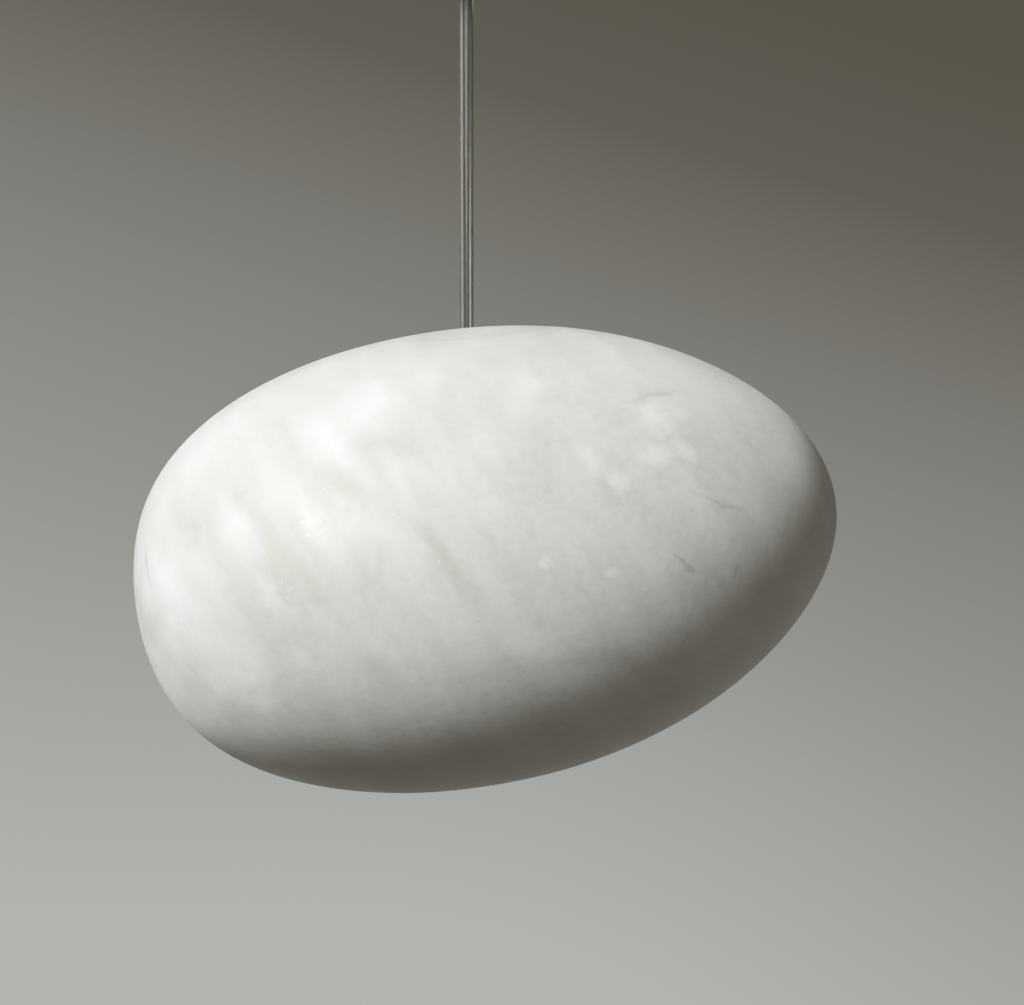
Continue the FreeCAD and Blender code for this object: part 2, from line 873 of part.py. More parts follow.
driver_screws = [
    pan_screw(
        f"driver_screw_{word}",
        driver_screw_setout * side,
        driver_front + size("driver_width") / 2,
        plate_under - size("driver_ear_thickness"),
        size("small_head_radius") - size("free_gap"),
        size("small_head_height"),
        size("small_screw_radius"),
        size("driver_ear_thickness") + size("plate_thickness"),
    )
    for side, word in ((1, "right"), (-1, "left"))
]
node("driver_screws", together("driver_screw_pair", driver_screws))


well_radius = size("small_head_radius") - size("free_gap") * 2


def terminal_places():
    centre_y = -driver_front - size("terminal_width") / 2
    first = -(TERMINAL_POLES - 1) / 2
    places = [size("pole_pitch") * (first + pole) for pole in range(TERMINAL_POLES)]
    return [(x, centre_y, str(pole)) for pole, x in enumerate(places)]


def terminal_block():
    """A screw terminal block for the supply, with a wire tunnel and a screw well a pole."""
    length, width, height = size("terminal_length"), size("terminal_width"), size("terminal_height")
    front = -driver_front - width
    foot = plate_under - height
    case = block("terminal_case", length, width, height, -length / 2, front, foot)
    tunnel, tunnel_z = size("small_screw_radius"), plate_under - size("terminal_tunnel_drop")
    holes = []
    for x, y, label in terminal_places():
        holes.append(rod(f"terminal_well_{label}", well_radius, size("terminal_well_depth"), x, y, foot))
        holes.append(rod(f"terminal_tunnel_{label}", tunnel, width, x, front, tunnel_z, ALONG_Y))
    return cut("terminal_block", case, holes)


node("terminal_block", terminal_block())

well_floor = plate_under - size("terminal_height") + size("terminal_well_depth")
terminal_screw_length = size("terminal_screw_length")
terminal_screws = [
    rod(
        f"terminal_screw_{label}",
        well_radius - size("seated_gap"),
        terminal_screw_length,
        x,
        y,
        well_floor - terminal_screw_length,
    )
    for x, y, label in terminal_places()
]
node("terminal_screws", together("terminal_screw_set", terminal_screws))

earth_y, washer_thickness = -earth_forward, size("earth_washer_thickness")
washer_radius = size("small_head_radius") + size("earth_washer_rim")
washer_level = plate_under - washer_thickness
earth_washer = ring("earth_washer", washer_radius, screw_hole, washer_thickness, 0, earth_y, washer_level)
earth_screw = pan_screw(
    "earth_screw_body",
    0,
    earth_y,
    washer_level,
    size("small_head_radius"),
    size("small_head_height"),
    size("small_screw_radius"),
    size("plate_thickness") + washer_thickness,
)
node("earth_screw", together("earth_screw_and_washer", [earth_screw, earth_washer]))


def mains_leads():
    """Two leads round the fixing screw, from the terminal block to the driver's end."""
    level = -size("mains_lead_drop").value
    radius, bend = size("lead_radius").value, size("mains_lead_bend").value
    block_end = -size("terminal_length").value / 2
    block_y = -(driver_front + size("terminal_width") / 2).value
    driver_end = -size("driver_length").value / 2
    driver_y = (driver_front + size("driver_width") / 2).value
    solids = []
    for number, side in enumerate((-1, 1)):
        offset = size("mains_lead_pitch").value / 2 * side
        reach = -size("mains_lead_reach").value - offset
        route = [
            FreeCAD.Vector(block_end, block_y - offset, level),
            FreeCAD.Vector(reach, block_y - offset, level),
            FreeCAD.Vector(reach, driver_y + offset, level),
            FreeCAD.Vector(driver_end, driver_y + offset, level),
        ]
        solids.append(lead(f"mains lead {number}", route, bend, radius))
    return shaped("mains_lead_pair", Part.makeCompound(solids))


def output_leads():
    """Two leads from the driver, through the socket's window, to the cable's cores."""
    core_end = (cable_top + size("core_tail") + size("cable_end")).value
    flange_foot = plate_under - size("socket_flange_thickness")
    run_level = (flange_foot - size("lead_radius") - size("free_gap")).value
    radius, bend = size("lead_radius").value, size("lead_bend").value
    solids = []
    for number, side in enumerate((-1, 1)):
        x = size("core_offset").value * side
        route = [
            FreeCAD.Vector(x, 0, core_end),
            FreeCAD.Vector(x, 0, run_level),
            FreeCAD.Vector(x, driver_front.value, run_level),
        ]
        solids.append(lead(f"output lead {number}", route, bend, radius))
    return shaped("output_lead_pair", Part.makeCompound(solids))


node("mains_leads", mains_leads())
node("output_leads", output_leads())

# --- the stone ------------------------------------------------------------------------------

SECTION_LEVELS = 19
SECTION_POINTS = 24
POLE_ANGLE = 3


class Pebble:
    """A smooth pebble in its own axes: an ellipsoid with a nose and fuller flanks.

    A point is the ellipsoid's point for a unit direction, times one plus small smooth
    terms. Terms in cos(3t), cos(4t) and cos(5t) of the angle t from the long axis
    sharpen the nose and flatten the flanks. Two cross terms lean and turn the back.
    """

    def __init__(self, inset=0, shift=0):
        axes = ("pebble_half_length", "pebble_half_depth", "pebble_half_height")
        self.half = [(size(word) - inset).value for word in axes]
        full = size("pebble_half_length").value
        self.third = size("nose_sharpening").value / full
        self.fourth = -size("flank_filling").value / full
        self.fifth = size("nose_tip").value / full
        depth = size("pebble_half_depth").value
        self.lean = size("back_lean").value / depth
        self.turn = size("back_turn").value / depth
        self.tilt = math.radians(size("pebble_tilt").value)
        across, drop = size("pebble_across") + shift, stone_top - size("pebble_centre_drop")
        self.centre = FreeCAD.Vector(across.value, 0, drop.value)

    def point(self, angle, azimuth):
        """The surface point at an angle from the nose, in the pebble's own axes."""
        x = math.cos(angle)
        y = math.sin(angle) * math.cos(azimuth)
        z = math.sin(angle) * math.sin(azimuth)
        swell = 1 + self.third * math.cos(3 * angle) + self.fourth * math.cos(4 * angle)
        swell += self.fifth * math.cos(5 * angle) + self.lean * y * z + self.turn * x * y
        a, b, c = self.half
        return FreeCAD.Vector(a * x * swell, b * y * swell, c * z * swell)

    def ring_across(self, along):
        """A closed curve round the pebble, square to its long axis."""
        points = []
        for step in range(SECTION_POINTS):
            azimuth = 2 * math.pi * step / SECTION_POINTS
            low, high = 0.0, math.pi
            for _ in range(40):
                middle = (low + high) / 2
                if self.point(middle, azimuth).x > along:
                    low = middle
                else:
                    high = middle
            points.append(self.placed(self.point(low, azimuth)))
        curve = Part.BSplineCurve()
        even = [float(step) for step in range(SECTION_POINTS + 1)]
        curve.interpolate(Points=points, PeriodicFlag=True, Parameters=even)
        return Part.Wire([curve.toShape()])

    def placed(self, point):
        """A point of the pebble's own axes where the pebble hangs."""
        cos, sin = math.cos(self.tilt), math.sin(self.tilt)
        along, up = cos * point.x - sin * point.z, sin * point.x + cos * point.z
        return self.centre + FreeCAD.Vector(along, point.y, up)

    def solid(self):
        rings = []
        span = 180 - 2 * POLE_ANGLE
        for step in range(SECTION_LEVELS):
            angle = math.radians(POLE_ANGLE + span * step / (SECTION_LEVELS - 1))
            rings.append(self.ring_across(self.point(angle, 0).x))
        return Part.makeLoft(rings, True, False)


outside = shaped("pebble_outside", Pebble().solid())
inside = shaped("pebble_inside", Pebble(size("stone_wall"), size("hollow_shift")).solid())

# A cutter this long passes right out of the stone.
reach = size("pebble_half_length") * 2
crown_block = centred_block("crown_block", reach * 2, reach * 2, reach, 0, 0, land_level)
hollow = cut("stone_hollow", inside, [crown_block])
opening = rod("lamp_opening", size("opening_radius"), size("land_drop"), 0, 0, land_level)
cap_seat = rod("cap_seat", size("seam_radius"), reach, 0, 0, ledge_level)
node("stone_shell", cut("stone_shell", outside, [hollow, opening, cap_seat]))


def stone_cap():
    """A plug cut from the same stone, so its top carries on the pebble's surface."""
    plug = rod("cap_plug", size("seam_radius") - size("free_gap"), reach, 0, 0, cap_floor)
    cap = overlap("cap_blank", [outside, plug])
    hole = rod("cap_cable_hole", size("cable_radius") + size("cap_hole_gap"), reach, 0, 0, cap_floor)
    relief = rod("cap_relief", size("cap_relief_radius"), size("cap_relief_height"), 0, 0, cap_floor)
    return cut("stone_cap", cap, [hole, relief])


node("stone_cap", stone_cap())

# --- hanging hardware -------------------------------------------------------------------------

tube_hole = size("tube_radius") + size("seated_gap")
clamp_top = ledge_level + size("clamp_plate_thickness")
gasket_height = cap_floor - clamp_top


def clamp_plate():
    """A round plate on the ledge, with four windows through which warm air leaves."""
    thickness = size("clamp_plate_thickness")
    outer, inner = size("window_outer_radius"), size("window_inner_radius")
    window_ring = ring("clamp_window_ring", outer, inner, thickness, 0, 0, ledge_level)
    webs = [
        centred_block("clamp_web_across", outer * 2, size("window_web"), thickness, 0, 0, ledge_level),
        centred_block("clamp_web_forward", size("window_web"), outer * 2, thickness, 0, 0, ledge_level),
    ]
    windows = cut("clamp_windows", window_ring, webs)
    disc_radius = size("seam_radius") - size("free_gap") * 2
    disc = ring("clamp_disc", disc_radius, tube_hole, thickness, 0, 0, ledge_level)
    return cut("clamp_plate", disc, [windows])


node("clamp_plate", clamp_plate())
gasket_outer, gasket_inner = size("gasket_outer_radius"), size("gasket_inner_radius")
node("cap_gasket", ring("cap_gasket", gasket_outer, gasket_inner, gasket_height, 0, 0, clamp_top))
node("top_nut", hex_piece("top_nut_body", size("nut_flats"), size("top_nut_height"), tube_hole, clamp_top))
tube_length = size("tube_bottom_drop") - size("tube_top_drop")
node(
    "threaded_tube",
    ring("threaded_tube", size("tube_radius"), size("tube_bore_radius"), tube_length, 0, 0, lower_sleeve_top),
)
bar_washer_radius, bar_washer_height = size("tube_washer_radius"), size("tube_washer_thickness")
washer_foot = bar_under - bar_washer_height
bar_washer = ring("tube_washer", bar_washer_radius, tube_hole, bar_washer_height, 0, 0, washer_foot)
node("tube_washer", bar_washer)
nut_height = size("lower_nut_height")
nut_foot = washer_foot - nut_height
node("lower_nut", hex_piece("lower_nut_body", size("nut_flats"), nut_height, tube_hole, nut_foot))


def hanger_bar():
    """A flat steel bar with rounded ends, which carries the stone under its land."""
    body = doc.addObject("PartDesign::Body", "hanger_bar_body")
    sketch = sketch_on(body, "XY_Plane", "bar_outline")
    half, side = size("bar_length") / 2, size("bar_width") / 2
    corner = size("bar_corner")
    outline = []
    for sx, sy in ((1, 1), (-1, 1), (-1, -1), (1, -1)):
        by_end = (half * sx, (side - corner) * sy)
        by_side = ((half - corner) * sx, side * sy)
        outline += [by_end, by_side] if sx * sy > 0 else [by_side, by_end]
    draw_outline(sketch, outline)
    pad = body.newObject("PartDesign::Pad", "bar_pad")
    pad.Profile = sketch
    bind(pad, "Length", size("bar_thickness"))
    put(body, 0, 0, bar_under)
    holes = [rod("bar_tube_hole", tube_hole, size("bar_thickness"), 0, 0, bar_under)]
    for side_sign, word in ((1, "right"), (-1, "left")):
        x = size("spacer_setout") * side_sign
        holes.append(rod(f"bar_screw_hole_{word}", screw_hole, size("bar_thickness"), x, 0, bar_under))
    return cut("hanger_bar", body, holes)


node("hanger_bar", hanger_bar())

pad_length, pad_width, pad_thickness = size("pad_length"), size("pad_width"), size("pad_thickness")
pad_centre = size("bar_length") / 2 - size("pad_inset") - pad_length / 2
pads = [
    centred_block(f"bar_pad_{word}", pad_length, pad_width, pad_thickness, pad_centre * side, 0, bar_top)
    for side, word in ((1, "right"), (-1, "left"))
]
node("bar_pads", together("bar_pad_pair", pads))

# --- lamp column ---------------------------------------------------------------------------------

spacers = []
spacer_screws = []
thread_depth = size("spacer_thread_depth")
for side, word in ((1, "right"), (-1, "left")):
    x = size("spacer_setout") * side
    blank = rod(f"spacer_blank_{word}", size("spacer_radius"), size("spacer_length"), x, 0, head_top)
    thread = rod(f"spacer_thread_{word}", screw_hole, thread_depth, x, 0, bar_under - thread_depth)
    spacers.append(cut(f"spacer_{word}", blank, [thread]))
    spacer_screws.append(
        pan_screw(
            f"spacer_screw_{word}",
            x,
            0,
            bar_top,
            size("small_head_radius"),
            size("small_head_height"),
            size("small_screw_radius"),
            size("bar_thickness") + thread_depth,
            up=False,
        )
    )
node("lamp_spacers", together("spacer_pair", spacers))
node("spacer_screws", together("spacer_screw_pair", spacer_screws))

spigot_radius = size("diffuser_radius") - size("diffuser_wall") - size("spigot_gap")
board_face = size("post_flats") / 2 + size("board_thickness")
lead_setout = board_face + size("lead_radius") + size("seated_gap")


def lamp_head():
    """The turned top of the lamp column, with a spigot that centres the diffuser."""
    pieces = [
        rod("head_flange", size("head_radius"), size("head_thickness"), 0, 0, head_under),
        rod("head_spigot", spigot_radius, size("spigot_height"), 0, 0, post_top),
    ]
    through = size("head_thickness") + size("spigot_height")
    lead_hole = size("lead_radius") + size("seated_gap")
    holes = [
        rod(f"head_lead_hole_{word}", lead_hole, through, 0, lead_setout * side, post_top)
        for side, word in ((1, "back"), (-1, "front"))
    ]
    return cut("lamp_head", join("lamp_head_blank", pieces), holes)


node("lamp_head", lamp_head())
junction_radius = size("junction_board_radius")
node("junction_board", rod("junction_board", junction_radius, size("board_thickness"), 0, 0, head_top))
node(
    "diffuser_tube",
    ring(
        "diffuser_tube",
        size("diffuser_radius"),
        size("diffuser_radius") - size("diffuser_wall"),
        size("diffuser_length"),
        0,
        0,
        diffuser_foot,
    ),
)


def led_post():
    """A hexagonal aluminium post that carries a board on each face and takes its heat."""
    screw_bore, depth = size("end_screw_radius") + size("seated_gap"), size("post_bore_depth")
    post = hex_piece("post_body", size("post_flats"), post_top - post_foot, screw_bore, post_foot)
    bore = rod("post_wire_bore", size("post_bore_radius"), depth, 0, 0, post_top - depth)
    return cut("led_post", post, [bore])


node("led_post", led_post())


def face_pieces(name, width, height, length, inner, level):
    """One flat piece on each face of the post, standing off it by inner."""
    pieces = []
    for face in range(POST_FACES):
        piece = block(f"{name}_{face}_flat", width, height, length, -width / 2, inner, level)
        turned_piece = together(f"{name}_{face}", [piece])
        turn_about_z(turned_piece, 360 / POST_FACES * face)
        pieces.append(turned_piece)
    return pieces


board_foot = (post_top + post_foot) / 2 - size("board_length") / 2
boards = face_pieces(
    "led_board",
    size("board_width"),
    size("board_thickness"),
    size("board_length"),
    size("post_flats") / 2,
    board_foot,
)
node("led_boards", together("led_board_set", boards))

chips = []
for number in range(CHIPS_PER_BOARD):
    middle = (post_top + post_foot) / 2 + size("chip_pitch") * (number - (CHIPS_PER_BOARD - 1) / 2)
    chips += face_pieces(
        f"led_chip_{number}",
        size("chip_width"),
        size("chip_height"),
        size("chip_length"),
        board_face,
        middle - size("chip_length") / 2,
    )
node("led_chips", together("led_chip_set", chips))

lead_foot = board_foot + size("board_length") - size("chip_length")
led_leads = [
    rod(f"led_lead_{word}", size("lead_radius"), head_top - lead_foot, 0, lead_setout * side, lead_foot)
    for side, word in ((1, "back"), (-1, "front"))
]
node("led_leads", together("led_lead_pair", led_leads))


def end_cap():
    """The opal foot of the column, with a spigot up inside the diffuser."""
    thickness = size("head_thickness")
    foot = diffuser_foot - thickness
    pieces = [
        rod("end_cap_disc", size("head_radius"), thickness, 0, 0, foot),
        rod("end_cap_spigot", spigot_radius, size("spigot_height"), 0, 0, diffuser_foot),
    ]
    through = thickness + size("spigot_height")
    hole = rod("end_cap_hole", size("end_screw_radius") + size("seated_gap"), through, 0, 0, foot)
    return cut("end_cap", join("end_cap_blank", pieces), [hole])


node("end_cap", end_cap())
node(
    "end_screw",
    pan_screw(
        "end_screw_body",
        0,
        0,
        diffuser_foot - size("head_thickness"),
        size("end_screw_head_radius"),
        size("end_screw_head_height"),
        size("end_screw_radius"),
        size("head_thickness") + size("spigot_height") + size("end_screw_length"),
    ),
)

# --- check and write -------------------------------------------------------------------------------

doc.recompute()
for item in doc.Objects:
    if "Invalid" in item.State or "Error" in item.State:
        raise RuntimeError(f"{item.Label} did not build: {item.State}")
for name, item in nodes.items():
    if item.Shape.isNull() or not item.Shape.isValid() or not item.Shape.Solids:
        raise RuntimeError(f"{name} is not a valid solid")

os.makedirs("parts", exist_ok=True)
for name, item in nodes.items():
    item.Shape.exportStep(f"parts/{name}.step")

total_x, total_volume = 0.0, 0.0
for name in ("stone_shell", "stone_cap"):
    shape = nodes[name].Shape
    total_x += shape.CenterOfGravity.x * shape.Volume
    total_volume += shape.Volume
print(f"stone: {total_volume / 1e6:.2f} litres, its middle {total_x / total_volume:.2f} mm off the cable")
print(f"{len(nodes)} sub-parts")
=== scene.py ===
# %% [markdown]
# # A closed alabaster pebble on a clear cable
# The lamp is a hollowed pebble of alabaster, about 350 mm long, that hangs from the ceiling on one
# clear cable. The hardware, the lamp column inside and the ceiling fitting come ready made as the
# frame, at their real size. This script gives every surface its finish, and models again in finer
# meshes what the eye rests on: the stone, the cable and the two thumb screws.

import json
import math

import bmesh
import bpy
from mathutils import Euler, Matrix, Vector, noise


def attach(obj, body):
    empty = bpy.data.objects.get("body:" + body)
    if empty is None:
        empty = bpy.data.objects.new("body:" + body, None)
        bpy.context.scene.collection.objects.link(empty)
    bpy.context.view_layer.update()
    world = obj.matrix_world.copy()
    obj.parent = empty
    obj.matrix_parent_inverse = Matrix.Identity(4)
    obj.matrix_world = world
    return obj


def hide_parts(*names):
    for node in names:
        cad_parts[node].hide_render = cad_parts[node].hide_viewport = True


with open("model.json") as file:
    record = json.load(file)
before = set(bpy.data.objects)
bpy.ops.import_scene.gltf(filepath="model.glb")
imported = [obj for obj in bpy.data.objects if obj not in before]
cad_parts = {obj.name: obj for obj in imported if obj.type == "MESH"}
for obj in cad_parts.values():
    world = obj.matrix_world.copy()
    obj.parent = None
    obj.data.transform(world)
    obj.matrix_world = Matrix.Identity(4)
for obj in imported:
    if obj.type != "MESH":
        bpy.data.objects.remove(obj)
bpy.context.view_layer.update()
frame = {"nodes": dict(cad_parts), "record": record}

# %% [markdown]
# ## Sizes
# All the sizes here are millimetres on the real object. Blender works in metres, so one small
# function turns a length, or a run of three lengths, into metres.

# %% Millimetres to metres
MM = 0.001
STONE_TOP = -235


def metres(*lengths):
    """Real millimetres as Blender metres: one number, or a vector of three."""
    return lengths[0] * MM if len(lengths) == 1 else Vector(lengths) * MM


print("the cable meets the stone", round(metres(-STONE_TOP), 3), "m below the ceiling")

# %% [markdown]
# ## Camera
# The photograph looks at the lamp from straight in front, from about the stone's own height, with
# little perspective, so a long lens stands well back. At the lamp the picture is 512 mm wide.
# Blender's sensor is 36 mm wide, and similar triangles give the lens.

# %% Camera
PICTURE_WIDTH = 512
PICTURE_MIDDLE = (22.75, -322.75)
CAMERA_DISTANCE = 1700
SENSOR_WIDTH = 36

camera_data = bpy.data.cameras.new("camera")
camera_data.sensor_width = SENSOR_WIDTH
camera_data.lens = SENSOR_WIDTH * CAMERA_DISTANCE / PICTURE_WIDTH
camera = bpy.data.objects.new("camera", camera_data)
bpy.context.scene.collection.objects.link(camera)
camera.location = metres(PICTURE_MIDDLE[0], -CAMERA_DISTANCE, PICTURE_MIDDLE[1])
camera.rotation_euler = Euler((math.radians(90), 0, 0))
bpy.context.scene.camera = camera
print("lens", round(camera_data.lens, 1), "mm")

# %% [markdown]
# ## Colours and nodes
# A colour picker and a photograph give sRGB values, and a shader works in linear light, so one
# function turns a hex colour into linear red, green and blue. One more adds a shader node with its
# settings and links, so that each material below reads as a short list of what it is made of.

# %% Hex colours, and a node in one line


def linear(hex_colour):
    """An sRGB hex colour as linear RGBA."""
    channels = [int(hex_colour[i:i + 2], 16) / 255 for i in (1, 3, 5)]
    return [c / 12.92 if c <= 0.04045 else ((c + 0.055) / 1.055) ** 2.4 for c in channels] + [1.0]


def add(tree, kind, inputs=(), **settings):
    """Adds a node. inputs maps a socket's name or number to a value or to an output socket."""
    node = tree.nodes.new(kind)
    for key, value in settings.items():
        setattr(node, key, value)
    for key, value in dict(inputs).items():
        if isinstance(value, bpy.types.NodeSocket):
            tree.links.new(value, node.inputs[key])
        else:
            node.inputs[key].default_value = value
    return node


print("mid grey is", round(linear("#808080")[0], 3), "in linear light")

# %% [markdown]
# Each finish starts from the same bench: an empty tree, one Principled shader, and the place of
# the point on the piece. That place is in metres and moves with the piece, so a pattern stays put
# in the material when the lamp swings, and its scale can come from a real size.

# %% The start of a material


def new_material(name):
    """An empty node tree with one Principled shader, and the position on the piece in metres."""
    made = bpy.data.materials.new(name)
    made.use_nodes = True
    tree = made.node_tree
    tree.nodes.clear()
    shader = add(tree, "ShaderNodeBsdfPrincipled")
    output = add(tree, "ShaderNodeOutputMaterial")
    tree.links.new(shader.outputs["BSDF"], output.inputs["Surface"])
    place = add(tree, "ShaderNodeTexCoord").outputs["Object"]
    return made, tree, shader, place


def per_metre(millimetres):
    """The scale that gives a noise or cell pattern features of this many millimetres."""
    return 1000 / millimetres


print("a 5 mm pattern has the scale", per_metre(5))

# %% [markdown]
# ## From mesh to scene
# Points and faces are put together in a mesh or in a bmesh, Blender's workbench for them, and then
# become an object in the scene. Every shape below ends that way, so it is written once.

# %% Put a shape into the scene


def placed(name, data):
    """A mesh or a light as an object in the scene."""
    piece = bpy.data.objects.new(name, data)
    bpy.context.scene.collection.objects.link(piece)
    return piece


def placed_shape(name, shape):
    """A bmesh as an object in the scene. The bmesh is used up."""
    mesh = bpy.data.meshes.new(name)
    shape.to_mesh(mesh)
    shape.free()
    return placed(name, mesh)


def crisp(mesh, angle):
    """Smooth shading, with the edges sharper than an angle in degrees kept crisp."""
    mesh.shade_smooth()
    mesh.set_sharp_from_angle(angle=math.radians(angle))


def dress(piece, finish):
    """Gives a piece one finish all over."""
    piece.data.materials.clear()
    piece.data.materials.append(finish)


# %% [markdown]
# ## The cable
# A pendant this heavy hangs on a cable made for it: a clear soft PVC jacket, 7 mm across, over two
# tinned copper cores that carry the current and a steel strand that carries the weight. The stone
# pulls it straight. Its line is a NURBS curve, so that it stays one clean line from the ball joint
# to the sleeve under the hanging bar, and everything inside the jacket follows that line.

# %% The cable's line
CABLE_DIAMETER = 7
CABLE_TOP = -10.5
CABLE_FOOT = -295
CABLE_POINTS = [(0, 0, CABLE_TOP), (0, 0, -60), (0, 0, -240), (0, 0, CABLE_FOOT)]


def nurbs_line(name, points):
    """A smooth open curve whose control points are in millimetres."""
    curve = bpy.data.curves.new(name, "CURVE")
    curve.dimensions = "3D"
    curve.resolution_u = 24
    spline = curve.splines.new("NURBS")
    spline.points.add(len(points) - 1)
    for control, point in zip(spline.points, points):
        control.co = (*metres(*point), 1)
    spline.order_u = 3
    spline.use_endpoint_u = True
    return curve


line_object = bpy.data.objects.new("cable_line", nurbs_line("cable_line", CABLE_POINTS))
cable_path = [v.co.copy() for v in bpy.data.meshes.new_from_object(line_object).vertices]
bpy.data.objects.remove(line_object)
cable_length = sum((b - a).length for a, b in zip(cable_path, cable_path[1:]))
print("the cable is", round(cable_length / MM, 1), "mm long")

# %% [markdown]
# A tube round a path is rings of points, each ring square to the path. The same function makes the
# jacket, each core and each wire of the strand: only the path and the radius differ.

# %% A tube along a path
TUBE_EDGE_ANGLE = 40


def ring_round(path, index, side_way, radius, sides):
    """One ring of a tube, and the sideways direction that the next ring starts from."""
    before, after = path[max(index - 1, 0)], path[min(index + 1, len(path) - 1)]
    forward = (after - before).normalized()
    other_way = forward.cross(side_way).normalized()
    side_way = other_way.cross(forward).normalized()
    ring = []
    for side in range(sides):
        angle = 2 * math.pi * side / sides
        ring.append(path[index] + radius * (side_way * math.cos(angle) + other_way * math.sin(angle)))
    return ring, side_way


def tube(name, path, radius, sides):
    """A closed mesh tube of one radius, in millimetres, along a path."""
    points, faces = [], []
    side_way = Vector((1, 0, 0))
    for index in range(len(path)):
        ring, side_way = ring_round(path, index, side_way, metres(radius), sides)
        points += ring
    for first in range(0, len(points) - sides, sides):
        for side in range(sides):
            a, b = first + side, first + (side + 1) % sides
            faces.append((a, b, b + sides, a + sides))
    faces.append(tuple(reversed(range(sides))))
    faces.append(tuple(range(len(points) - sides, len(points))))
    mesh = bpy.data.meshes.new(name)
    mesh.from_pydata(points, [], faces)
    mesh.update()
    crisp(mesh, TUBE_EDGE_ANGLE)
    return placed(name, mesh)


JACKET_SIDES = 48
jacket = tube("clear_jacket", cable_path, CABLE_DIAMETER / 2, JACKET_SIDES)
print("jacket:", len(jacket.data.polygons), "faces")

# %% [markdown]
# The two cores are laid up with a long twist, and the six outer wires of the strand with a short
# one. Both are helices round the cable's line. A tube could also be a curve with a bevel, but as
# meshes the cores can be joined into one piece, as they are one part of the cable.

# %% Helices, and pieces joined into one


def along(path, share):
    """The point at a share of the way along a path."""
    place = share * (len(path) - 1)
    index = min(int(place), len(path) - 2)
    return path[index].lerp(path[index + 1], place - index)


def helix(path, radius, pitch, start, steps):
    """A helix round an upright path. radius and pitch are in millimetres, start in turns."""
    height = (path[0] - path[-1]).length / MM
    points = []
    for step in range(steps + 1):
        share = step / steps
        angle = 2 * math.pi * (start + share * height / pitch)
        offset = metres(radius * math.cos(angle), radius * math.sin(angle), 0)
        points.append(along(path, share) + offset)
    return points


def joined(name, pieces):
    """Several mesh objects as one."""
    whole = bmesh.new()
    for piece in pieces:
        whole.from_mesh(piece.data)
        bpy.data.objects.remove(piece)
    return placed_shape(name, whole)


# Each core's start and pitch. The right one drifts out from behind the strand on its way down.
CORE_LAYS = ((0.463, 1677), (0.28, -1067))
CORE_OFFSET = 1.6
CORE_RADIUS = 0.9
CORE_STEPS = 120
CORE_SIDES = 24
core_paths = [helix(cable_path, CORE_OFFSET, pitch, start, CORE_STEPS) for start, pitch in CORE_LAYS]
cores = joined("cores", [tube("core", path, CORE_RADIUS, CORE_SIDES) for path in core_paths])
print("two cores:", len(cores.data.polygons), "faces")

# %% [markdown]
# The strand is a small steel rope of seven wires: one straight in the middle and six laid round it,
# each a wire's thickness off the line. Modelled wire by wire, its twist catches the light as a
# rope's does, where a plain rod would show one hard line.

# %% The strand that carries the weight
WIRE_RADIUS = 0.2
WIRE_PITCH = 12
WIRE_STEPS = 600
WIRE_SIDES = 8
MIDDLE_WIRE_SIDES = 10
OUTER_WIRES = 6

wires = [tube("wire", cable_path, WIRE_RADIUS, MIDDLE_WIRE_SIDES)]
for number in range(OUTER_WIRES):
    wire_path = helix(cable_path, WIRE_RADIUS * 2, WIRE_PITCH, number / OUTER_WIRES, WIRE_STEPS)
    wires.append(tube("wire", wire_path, WIRE_RADIUS, WIRE_SIDES))
strand = joined("strand", wires)
print("strand:", len(strand.data.polygons), "faces")

# %% [markdown]
# The cable's pieces ride on the cable's body, and the ready-made nodes they stand for are hidden.

# %% The cable on its body
# Light passes through the clear jacket to what is inside it, so the jacket casts no shadow.
jacket.visible_shadow = False
for piece, node_name, slot_name in (
    (jacket, "cable_jacket", "clear_pvc"),
    (cores, "cable_cores", "tinned_copper"),
    (strand, "carrier_strand", "steel_strand"),
):
    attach(piece, "cable")
    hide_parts(node_name)
print("cord:", round(CABLE_TOP - CABLE_FOOT, 1), "mm from the ball joint to the lower sleeve")

# %% [markdown]
# ## The stone
# The pebble isn't a ball and isn't quite an egg. A sphere's directions are a good start, because
# each direction gives one point: the ellipsoid's point, pushed out or in a little by smooth waves
# round the long axis, which sharpen one end and flatten the flanks. The pebble then tips by 9.4
# degrees, as it hangs in the photograph.

# %% The pebble's form
HALF_SIZES = (177.5, 133, 114.9)
TILT = 9.4
ACROSS = 5
CENTRE_DROP = 114.3
NOSE_SHARPENING = 4.4
FLANK_FILLING = 1.4
NOSE_TIP = 1.1
BACK_LEAN = 3
BACK_TURN = 2.5


def pebble_point(direction, inset=0):
    """The pebble's surface along a unit direction, in millimetres, before it is tipped."""
    x, y, z = direction
    angle = math.acos(max(-1, min(1, x)))
    swell = 1 + NOSE_SHARPENING / HALF_SIZES[0] * math.cos(3 * angle)
    swell -= FLANK_FILLING / HALF_SIZES[0] * math.cos(4 * angle)
    swell += NOSE_TIP / HALF_SIZES[0] * math.cos(5 * angle)
    swell += BACK_LEAN / HALF_SIZES[1] * y * z + BACK_TURN / HALF_SIZES[1] * x * y
    return Vector([(half - inset) * part * swell for half, part in zip(HALF_SIZES, direction)])


def hung(point, shift=0):
    """A point of the upright pebble where the tipped pebble hangs."""
    cos, sin = math.cos(math.radians(TILT)), math.sin(math.radians(TILT))
    x = ACROSS + shift + cos * point.x - sin * point.z
    z = STONE_TOP - CENTRE_DROP + sin * point.x + cos * point.z
    return Vector((x, point.y, z))


stone_centre = hung(Vector((0, 0, 0)))
print("the stone's centre hangs at", tuple(round(c, 1) for c in stone_centre), "mm")

